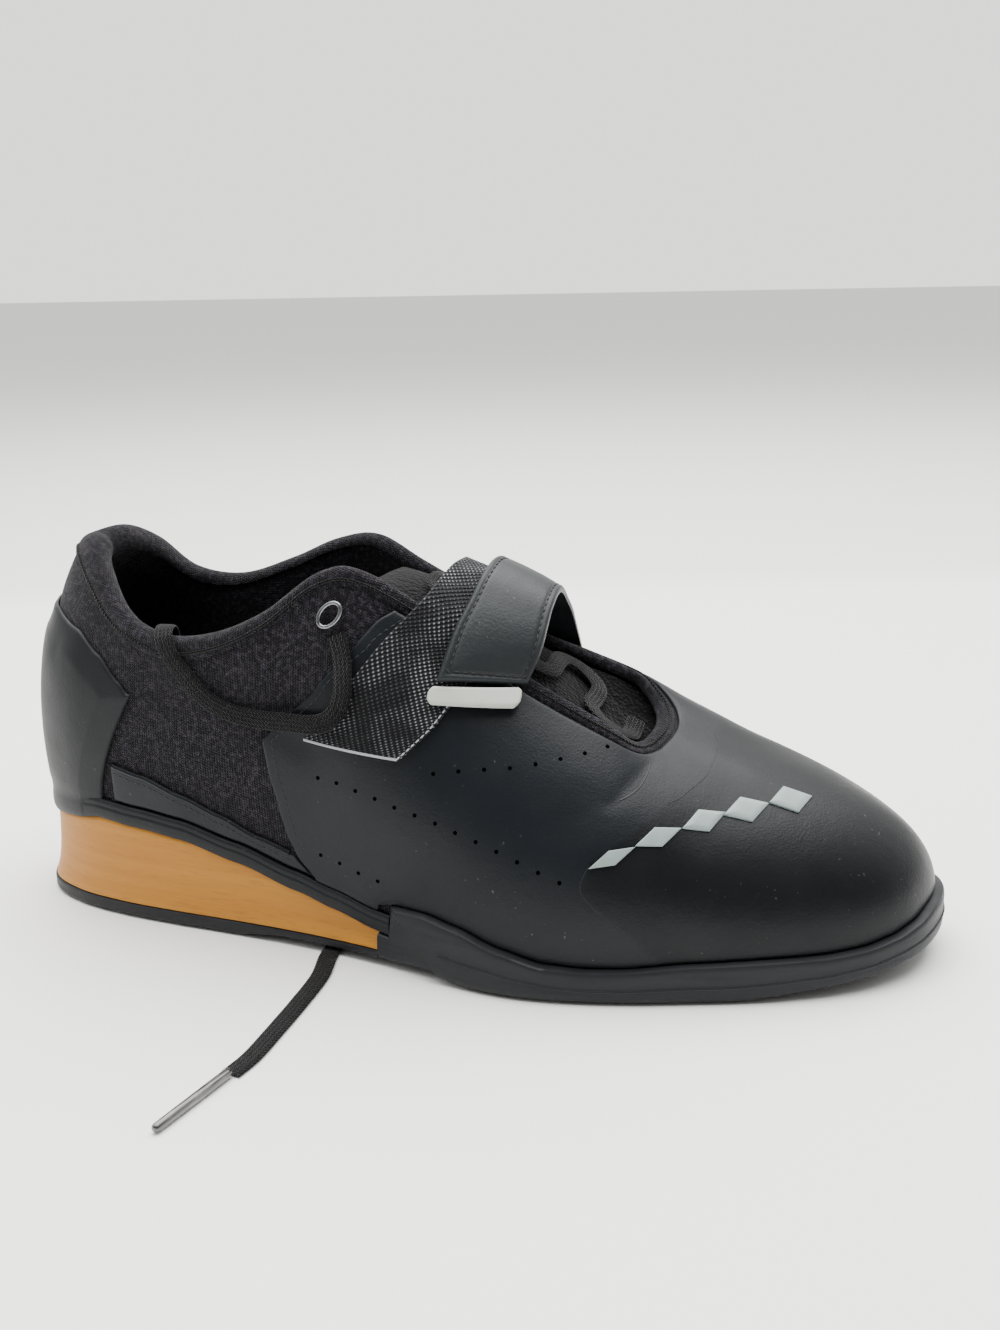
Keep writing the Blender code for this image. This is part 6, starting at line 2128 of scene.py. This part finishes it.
@dataclass
class Strap(Part):
    """Hook-and-loop instep strap with its pale tab, over a woven band."""

    thickness: float = 0.002
    band: float = 0.0011
    tab: float = 0.0016
    tab_width: float = 0.0048
    blend_gap: float = 0.0005
    border: float = 0.0024

    def build(self) -> None:
        """Make the band, the strap and the tab."""
        self._band()
        self._strap()
        self._tab()

    def _scale(self, table: Sequence[Sequence[float]]) -> Array:
        """Rear and front points of a bed's rows, in metres.

        Args:
            table: Rows of shares of the sizes.

        Returns:
            Array of rows, two edges and coordinates.
        """
        size = self.sizes
        scale = np.array((size.length, size.ball_width, size.collar_height))
        return np.array(table).reshape(-1, 2, 3) * scale

    def _lift(self) -> float:
        """Height of the strap's under face above its bed over the band."""
        return self.sizes.overlay + self.band + 4 * self.sizes.clearance + self.blend_gap

    def _sheet(self, rows: Array, lifts: Array, along: int, across: int) -> tuple[Array, ...]:
        """Fine grid over rows of bed points.

        Args:
            rows: Rows of points on the bed.
            lifts: How far the sheet's under face is off the bed, at each row.
            along: Points along the sheet.
            across: Points across it.

        Returns:
            The grid, its normals, its lift at each row, and the distances of its points from the sheet's
            edge, from its rear edge and from its end.
        """
        columns = [open_curve(rows[:, k], along) for k in range(rows.shape[1])]
        grid = np.stack([open_curve(row, across) for row in np.stack(columns, 1)])
        spread = np.interp(np.linspace(0, len(rows) - 1, along), np.arange(len(rows)), lifts)
        normal = unit(np.cross(np.gradient(grid, axis=1), np.gradient(grid, axis=0)))
        width = np.linalg.norm(np.diff(grid, axis=1), axis=2)
        run = np.concatenate([np.zeros((along, 1)), np.cumsum(width, 1)], 1)
        side = np.minimum(run, run[:, -1:] - run)
        line = arc_length(grid[:, across // 2])
        near = np.minimum(side, np.minimum(line, line[-1] - line)[:, None])
        return grid, normal, spread[:, None], near, run, line

    def _band(self) -> None:
        """Woven band from the outer side of the vamp to the instep."""
        size, skin = self.sizes, self.skin
        share = np.linspace(0, 1, 5)
        side = np.array(BAND_SIDE)
        x = size.length * (side[:, :1] + (side[:, 2:3] - side[:, :1]) * share)
        z = size.collar_height * (side[:, 1:2] + (side[:, 3:4] - side[:, 1:2]) * share)
        rows = skin.at(*skin.place_on(Side.LATERAL, x, z))
        arch = self._scale(BAND_ARCH)
        bed = arch[:, :1] + (arch[:, 1:] - arch[:, :1]) * share[None, :, None]
        rows = np.concatenate([rows, bed])
        lift = size.overlay + 3 * size.clearance + self.blend_gap
        lifts = np.full(len(rows), lift)
        grid, normal, spread, near, run, line = self._sheet(rows, lifts, 150, 60)
        full = self.band * rounded(near, 0.0007)
        weave = 0.00012 * np.sin(run / 0.0011 * math.pi) * np.sin(line / 0.0011 * math.pi)[:, None]
        outer = grid + normal * (spread + full + weave * (near > 0.0012))[..., None]
        loops = folded(outer, grid + normal * spread[..., None])
        uv = cloth_map(run, line[:, None])
        piece = Loft("woven_loop_band", loops).build(folded(uv, uv))
        self.keep(piece, "webbing", [WEBBING], "loop_band")
        rim = grid[1, 2:-2] + normal[1, 2:-2] * (lift + self.band * 0.6)
        self.tube("band_cut_edge", rim, 0.00055, "webbing", PALE_THREAD)
        edge = grid[3:60, -3] + normal[3:60, -3] * (lift + self.band)
        self.stitches("band_edge_stitches", edge, "webbing", 0.0019, PALE_THREAD)

    def _strap(self) -> None:
        """Strap from the inner side's sole over the throat to its tip."""
        size, skin = self.sizes, self.skin
        share = np.linspace(0, 1, 5)
        arch = self._scale(STRAP_ARCH)
        rows = arch[:, :1] + (arch[:, 1:] - arch[:, :1]) * share[None, :, None]
        lifts = [self._lift()] * len(rows)
        down = []
        for rear, front, height in STRAP_DOWN:
            x = size.length * (rear + (front - rear) * share)
            throat = skin.at(skin.place_at(Side.MEDIAL, x, 1.0), 1.0)[:, 2]
            low = self.foot_z(x) + 2 * size.clearance
            down.append(skin.at(*skin.place_on(Side.MEDIAL, x, low + (throat - low) * height)))
            lifts.append(size.overlay + 2 * size.clearance + self.blend_gap + self.band * height)
        rows = np.concatenate([rows, np.array(down)])
        grid, normal, spread, near, run, line = self._sheet(rows, np.array(lifts), 260, 56)
        full = self.thickness * rounded(near, 0.0013)
        groove = 0.00035 * np.exp(-(((near - self.border) / 0.0007) ** 2))
        swell = 0.0003 * np.clip((near - self.border) / 0.006, 0, 1)
        top = spread + full - groove + swell
        loops = folded(grid + normal * top[..., None], grid + normal * spread[..., None])
        uv = cloth_map(run, line[:, None])
        piece = Loft("instep_strap", loops).build(folded(uv, uv))
        self.keep(piece, "synthetic_leather", [STRAP_LEATHER], "strap")
        self._border(grid, normal, spread, run, line)

    def _border(
        self, grid: Array, normal: Array, spread: Array, run: Array, line: Array
    ) -> None:
        """Stitches round the strap, a little in from its edge.

        Args:
            grid: The strap's grid.
            normal: Its normals.
            spread: Lift of its under face at each row.
            run: Distances from its rear edge.
            line: Distances from its end.
        """
        lift = spread + self.thickness - 0.0002
        inset = self.border
        rows = np.where((line > inset) & (line < line[-1] - inset))[0]
        rear, front = [], []
        for k in rows:
            for store, want in ((rear, inset), (front, run[k, -1] - inset)):
                spot = [np.interp(want, run[k], grid[k, :, axis]) for axis in range(3)]
                way = [np.interp(want, run[k], normal[k, :, axis]) for axis in range(3)]
                store.append(np.array(spot) + np.array(way) * lift[k, 0])
        first = rows[0]
        inside = (run[first] > inset) & (run[first] < run[first, -1] - inset)
        across = grid[first, inside] + normal[first, inside] * lift[first, 0]
        path = np.concatenate([np.array(rear)[::-1], across, np.array(front)])
        self.stitches("strap_border_stitches", path, "synthetic_leather", 0.0025)

    def _tab(self) -> None:
        """Plain pale bar along the strap's tip."""
        size, skin = self.sizes, self.skin
        (rear_x, rear_z), (front_x, front_z) = TAB_ENDS
        share = np.linspace(0, 1, 70)[:, None]
        ends = np.minimum(share, 1 - share)
        full = 0.3 + 0.7 * np.clip(1 - (1 - np.clip(ends / 0.07, 0, 1)) ** 2, 0, 1)
        across = np.linspace(-1, 1, 18)[None, :]
        across = np.sign(across) * (1 - (1 - np.abs(across)) ** 1.5)
        x = size.length * (rear_x + (front_x - rear_x) * share) + 0 * across
        z = size.collar_height * (rear_z + (front_z - rear_z) * share) + across * full * self.tab_width / 2
        place, height = skin.place_on(Side.LATERAL, x, z)
        near = np.minimum((1 - np.abs(across)) * self.tab_width / 2, ends * 0.026)
        outer = skin.at(place, height, self._lift() + self.tab * rounded(near, 0.0007))
        piece = Loft("strap_tip_bar", folded(outer, skin.at(place, height, self._lift()))).build()
        self.keep(piece, "tab_plastic", [PALE_TAB], "strap_tab")


# Free lace ends in the shoe's own frame: x, y, z and the way the flat side faces, in degrees from the
# outer side (0) over the top (90) to the inner side (180)
LACE_END_LATERAL = (
    (0.0866, -0.0366, 0.1024, 17), (0.0884, -0.0382, 0.0992, 18), (0.0898, -0.0404, 0.0950, 18),
    (0.0908, -0.0430, 0.0903, 16), (0.0909, -0.0447, 0.0858, 14), (0.0895, -0.0458, 0.0815, 11),
    (0.0860, -0.0460, 0.0783, 9), (0.0805, -0.0452, 0.0766, 8), (0.0720, -0.0432, 0.0760, 6),
    (0.0600, -0.0408, 0.0755, 5), (0.0500, -0.0395, 0.0768, 4), (0.0420, -0.0385, 0.0804, 4),
    (0.0362, -0.0379, 0.0860, 3), (0.0326, -0.0379, 0.0905, 4), (0.0303, -0.0379, 0.0945, 10),
    (0.0287, -0.0368, 0.0980, 35), (0.0275, -0.0340, 0.1003, 65), (0.0266, -0.0307, 0.1006, 95),
    (0.0258, -0.0276, 0.0988, 130), (0.0252, -0.0258, 0.0950, 165), (0.0247, -0.0254, 0.0890, 178),
    (0.0242, -0.0258, 0.0800, 180), (0.0238, -0.0264, 0.0700, 180), (0.0238, -0.0268, 0.0600, 180),
    (0.0240, -0.0268, 0.0510, 178), (0.0246, -0.0256, 0.0438, 158), (0.0262, -0.0222, 0.0398, 118),
    (0.0300, -0.0168, 0.0381, 95), (0.0352, -0.0108, 0.0366, 90), (0.0420, -0.0060, 0.0349, 90),
    (0.0500, -0.0030, 0.0326, 90), (0.0570, -0.0012, 0.0306, 90), (0.0640, 0.0004, 0.0288, 90),
)
LACE_END_MEDIAL = (
    (0.0778, 0.0342, 0.1018, 167), (0.0790, 0.0355, 0.0980, 169), (0.0808, 0.0372, 0.0900, 171),
    (0.0814, 0.0388, 0.0800, 175), (0.0812, 0.0398, 0.0700, 178), (0.0806, 0.0405, 0.0600, 180),
    (0.0799, 0.0410, 0.0500, 182), (0.0792, 0.0415, 0.0400, 183), (0.0787, 0.0424, 0.0300, 184),
    (0.0785, 0.0436, 0.0220, 185), (0.0786, 0.0450, 0.0150, 187), (0.0790, 0.0456, 0.0095, 197),
    (0.0796, 0.0445, 0.0047, 225), (0.0804, 0.0414, 0.0017, 255), (0.0810, 0.0368, 0.0009, 270),
    (0.0815, 0.0280, 0.0008, 270), (0.0820, 0.0140, 0.0008, 270), (0.0823, 0.0000, 0.0008, 270),
    (0.0823, -0.0150, 0.0008, 270), (0.0820, -0.0300, 0.0008, 270), (0.0817, -0.0442, 0.0008, 270),
    (0.0845, -0.0585, 0.0008, 270), (0.0850, -0.0740, 0.0008, 270), (0.0848, -0.0907, 0.0008, 270),
    (0.0843, -0.1045, 0.0008, 270), (0.0825, -0.1135, 0.0008, 270),
)


@dataclass
class Laces(Part):
    """Flat lace over the tongue, its two free ends with clear tips, and the wire rings that carry them."""

    width: float = 0.006
    thickness: float = 0.0012
    pitch: float = 0.0123
    rows_back: float = 0.482
    rows: int = 6
    reach: float = 0.0105
    tip: float = 0.029
    tip_diameter: float = 0.0028
    ring_wire: float = 0.0014
    ring_size: tuple[float, float] = (0.0098, 0.0070)
    ring_tilt: float = 50.0
    ring_x: tuple[float, float] = (0.406, 0.389)
    ring_z: float = 0.903

    def build_ends(self) -> None:
        for name, route in (("lateral", LACE_END_LATERAL), ("medial", LACE_END_MEDIAL)):
            line = open_curve(np.array(route), 420)
            turn = np.radians(line[:, 3])
            facing = np.stack([0 * turn, -np.cos(turn), np.sin(turn)], 1)
            points = line[:, :3] + np.array((HEEL_SEAT, 0, 0))
            lace = self._ribbon(f"lace_free_end_{name}", points, facing)
            self.keep(lace, "lace", [LACE], f"lace_end_{name}")
            tip = self._tip(f"clear_lace_tip_{name}", points)
            self.keep(tip, "aglet_plastic", [TIP], f"aglet_{name}")

    def _ribbon(self, name: str, points: Array, facing: Array) -> Piece:
        """Flat oval lace along points, its flat side turned to facing.

        Args:
            name: Name of the piece.
            points: Its middle line.
            facing: Direction that its flat side faces.

        Returns:
            The lace.
        """
        ahead, behind = np.concatenate([points[1:], points[-1:]]), np.concatenate([points[:1], points[:-1]])
        along = unit(ahead - behind)
        facing = unit(facing - along * (facing * along).sum(1, keepdims=True))
        side = np.cross(along, facing)
        turn = np.arange(20) * math.tau / 20
        u = np.sign(np.cos(turn)) * np.abs(np.cos(turn)) ** 0.7 * self.width / 2
        v = np.sign(np.sin(turn)) * np.abs(np.sin(turn)) ** 0.75 * self.thickness / 2
        loops = points[:, None] + side[:, None] * u[None, :, None] + facing[:, None] * v[None, :, None]
        length = arc_length(points)
        return Loft(name, loops).build(cloth_map(u[None, :], length[:, None]))

    def _tip(self, name: str, points: Array) -> Piece:
        """Stiff tip that goes straight on from the lace.

        Args:
            name: Name of the piece.
            points: The lace's middle line.

        Returns:
            The tip.
        """
        along = unit(points[-1] - points[-12])
        radius = self.tip_diameter / 2
        start = points[-1] + along * 0.0003 + np.array((0, 0, radius - self.thickness / 2))
        share = np.array((0.0, 0.004, 0.015, 0.04, 0.3, 0.6, 0.9, 0.97, 0.99, 1.0))
        size = np.array((0.55, 0.85, 0.98, 1.0, 1.0, 0.97, 0.95, 0.9, 0.75, 0.45)) * radius
        line = start + along * (share * self.tip)[:, None]
        loops, uv = sweep(line, size, 20, False)
        return Loft(name, loops).build(uv)

    def build_rows(self, tongue: Tongue) -> None:
        """Make the rows over the tongue and the rings.

        Args:
            tongue: The tongue that they lie on.
        """
        x, y = [], []
        turns = ((0.0, -0.55), (0.0, 0.0), (0.0, 0.55), (0.15, 0.85), (0.5, 1.0), (0.85, 0.85))
        for row in range(self.rows):
            way = 1 if row % 2 else -1
            for forward, aside in turns if row < self.rows - 1 else turns[:3]:
                x.append(self.rows_back * self.sizes.length + (row + forward) * self.pitch)
                y.append(way * aside * self.reach)
        x, y = np.array(x), np.array(y)
        step = self.width / 2
        slope_x = (tongue.top(x + step, y) - tongue.top(x - step, y)) / (2 * step)
        slope_y = (tongue.top(x, y + step) - tongue.top(x, y - step)) / (2 * step)
        facing = unit(np.stack([-slope_x, -slope_y, np.ones(len(x))], 1))
        lift = self.thickness / 2 + 4 * self.sizes.clearance
        spots = np.stack([x, y, tongue.top(x, y)], 1) + facing * lift
        line = open_curve(np.concatenate([spots, facing], 1), 330)
        piece = self._ribbon("lace_over_tongue", line[:, :3], unit(line[:, 3:]))
        self.keep(piece, "lace", [LACE], "lace_rows")
        for side, x_share in zip(Side, self.ring_x):
            self._ring(side, x_share)

    def _ring(self, side: Side, x_share: float) -> None:
        """Wire ring at an ear of the upper.

        Args:
            side: Side of the shoe.
            x_share: Its x as a share of the length.
        """
        size, skin = self.sizes, self.skin
        place, share = skin.place_on(side, x_share * size.length, self.ring_z * size.collar_height)
        normal = skin.normal(place, share).reshape(3)
        level = unit(np.cross((0.0, 0.0, 1.0), normal))
        level = level * math.copysign(1, level[0])
        rise = unit(np.array((0.0, 0.0, 1.0)) - normal * normal[2])
        tilt = math.radians(self.ring_tilt)
        long_way = level * math.cos(tilt) + rise * math.sin(tilt)
        short_way = rise * math.cos(tilt) - level * math.sin(tilt)
        middle = skin.at(place, share, self.ring_wire / 2 + 2 * size.clearance).reshape(3)
        turn = np.arange(64)[:, None] * math.tau / 64
        half_long, half_short = ((s - self.ring_wire) / 2 for s in self.ring_size)
        line = middle + long_way * half_long * np.cos(turn) + short_way * half_short * np.sin(turn)
        radius = np.full(64, self.ring_wire / 2)
        loops = sweep(line, radius, 14, True)[0]
        name = side.name.lower()
        piece = Loft(f"wire_lace_ring_{name}", loops, around=True).build()
        self.keep(piece, "wire", [STEEL_WIRE], f"lace_ring_{name}")


# Studio


@dataclass
class Studio:
    """Camera at the photograph's angle, pale floor and soft light."""

    camera_at: tuple[float, float, float] = (0.2490, -0.4029, 0.2086)
    azimuth: float = 16.93
    pitch: float = 16.36
    roll: float = -1.44
    lens: float = 37.42
    floor_colour: str = "f4f4f2"
    far_colour: str = "e4e4e1"
    sky_colour: str = "e6e6e3"
    sky_low: float = 0.25
    sky_high: float = 2.2
    floor_reach: float = 8.0

    def camera(self) -> None:
        """Make the camera."""
        a, e, r = (math.radians(v) for v in (self.azimuth, self.pitch, self.roll))
        back = Vector((math.sin(a) * math.cos(e), -math.cos(a) * math.cos(e), math.sin(e)))
        right = Vector((math.cos(a), math.sin(a), 0.0))
        up = right.cross(-back)
        tilted = right * math.cos(r) + up * math.sin(r)
        upward = up * math.cos(r) - right * math.sin(r)
        data = bpy.data.cameras.new("photo_camera")
        data.lens, data.sensor_width, data.sensor_fit = self.lens, 36.0, "AUTO"
        data.clip_start = 0.01
        camera = bpy.data.objects.new("photo_camera", data)
        turn = Matrix((tilted, upward, back)).transposed().to_4x4()
        camera.matrix_world = Matrix.Translation(Vector(self.camera_at)) @ turn
        bpy.context.scene.collection.objects.link(camera)
        bpy.context.scene.camera = camera

    def set(self) -> None:
        """Make the floor, the lights and the sky."""
        mesh = bpy.data.meshes.new("studio_floor")
        reach = self.floor_reach
        corners = [(x * reach, y * reach, 0) for x, y in ((-1, -1), (1, -1), (1, 1), (-1, 1))]
        mesh.from_pydata(corners, [], [(0, 1, 2, 3)])
        floor = bpy.data.objects.new("studio_floor", mesh)
        bpy.context.scene.collection.objects.link(floor)
        mesh.materials.append(self._floor_finish())
        self._area("overhead_softbox", (0.10, 0.25, 1.25), (0.12, 0.0, 0.0), 1.6, 62.0)
        self._area("window_left", (-0.95, -0.45, 1.05), (0.10, 0.0, 0.05), 1.0, 3.0)
        world = bpy.context.scene.world or bpy.data.worlds.new("studio_world")
        bpy.context.scene.world = world
        world.use_nodes = True
        tree = world.node_tree
        tree.nodes.clear()
        look = add(tree, "ShaderNodeTexCoord", {}, {}).outputs["Generated"]
        a = math.radians(self.azimuth)
        way = (-math.sin(a), math.cos(a), 0.4)
        dot = add(tree, "ShaderNodeVectorMath", {"operation": "DOT_PRODUCT"}, {0: look, 1: way})
        span = {0: dot.outputs["Value"], 1: -0.5, 2: 0.6, 3: self.sky_low, 4: self.sky_high}
        level = add(tree, "ShaderNodeMapRange", {}, span)
        shine = {"Color": srgb(self.sky_colour), "Strength": level.outputs[0]}
        sky = add(tree, "ShaderNodeBackground", {}, shine)
        add(tree, "ShaderNodeOutputWorld", {}, {"Surface": sky.outputs[0]})

    def _floor_finish(self) -> Material:
        """Painted board, paler near the shoe than far behind it.

        Returns:
            The floor's material.
        """
        finish = Finish("painted_board", self.floor_colour, 0.75)
        material = finish.build()
        tree = material.node_tree
        shader = next(node for node in tree.nodes if node.type == "BSDF_PRINCIPLED")
        a = math.radians(self.azimuth)
        way = (-math.sin(a), math.cos(a), 0.0)
        dot = add(tree, "ShaderNodeVectorMath", {"operation": "DOT_PRODUCT"}, {0: finish.place(tree), 1: way})
        start = Vector(self.camera_at).dot(Vector(way))
        far = finish.span(tree, dot.outputs["Value"], start + 0.86, start + 0.93)
        tree.links.new(finish.mix(tree, far, self.floor_colour, self.far_colour), shader.inputs["Base Color"])
        return material

    def _area(self, name: str, at: Sequence[float], to: Sequence[float], size: float, power: float) -> None:
        """A square soft light.

        Args:
            name: Name of the light.
            at: Where it hangs.
            to: What it points at.
            size: Length of its side.
            power: Power in watts.
        """
        data = bpy.data.lights.new(name, "AREA")
        data.energy, data.size = power, size
        lamp = bpy.data.objects.new(name, data)
        lamp.location = at
        lamp.rotation_euler = (Vector(to) - Vector(at)).to_track_quat("-Z", "Y").to_euler()
        bpy.context.scene.collection.objects.link(lamp)


def main() -> None:
    """Load the frame and build the shoe's looks."""
    logging.basicConfig(level=logging.INFO, format="%(name)s %(message)s")
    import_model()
    studio = Studio()
    studio.camera()
    skin, trees = Skin(SIZES), Trees()
    laces = Laces(skin, trees)
    laces.build_ends()
    Upper(skin, trees).build()
    Overlays(skin, trees).build()
    Sole(skin, trees).build()
    tongue = Tongue(skin, trees)
    tongue.build()
    Strap(skin, trees).build()
    laces.build_rows(tongue)
    studio.set()


if __name__ == "__main__":
    main()
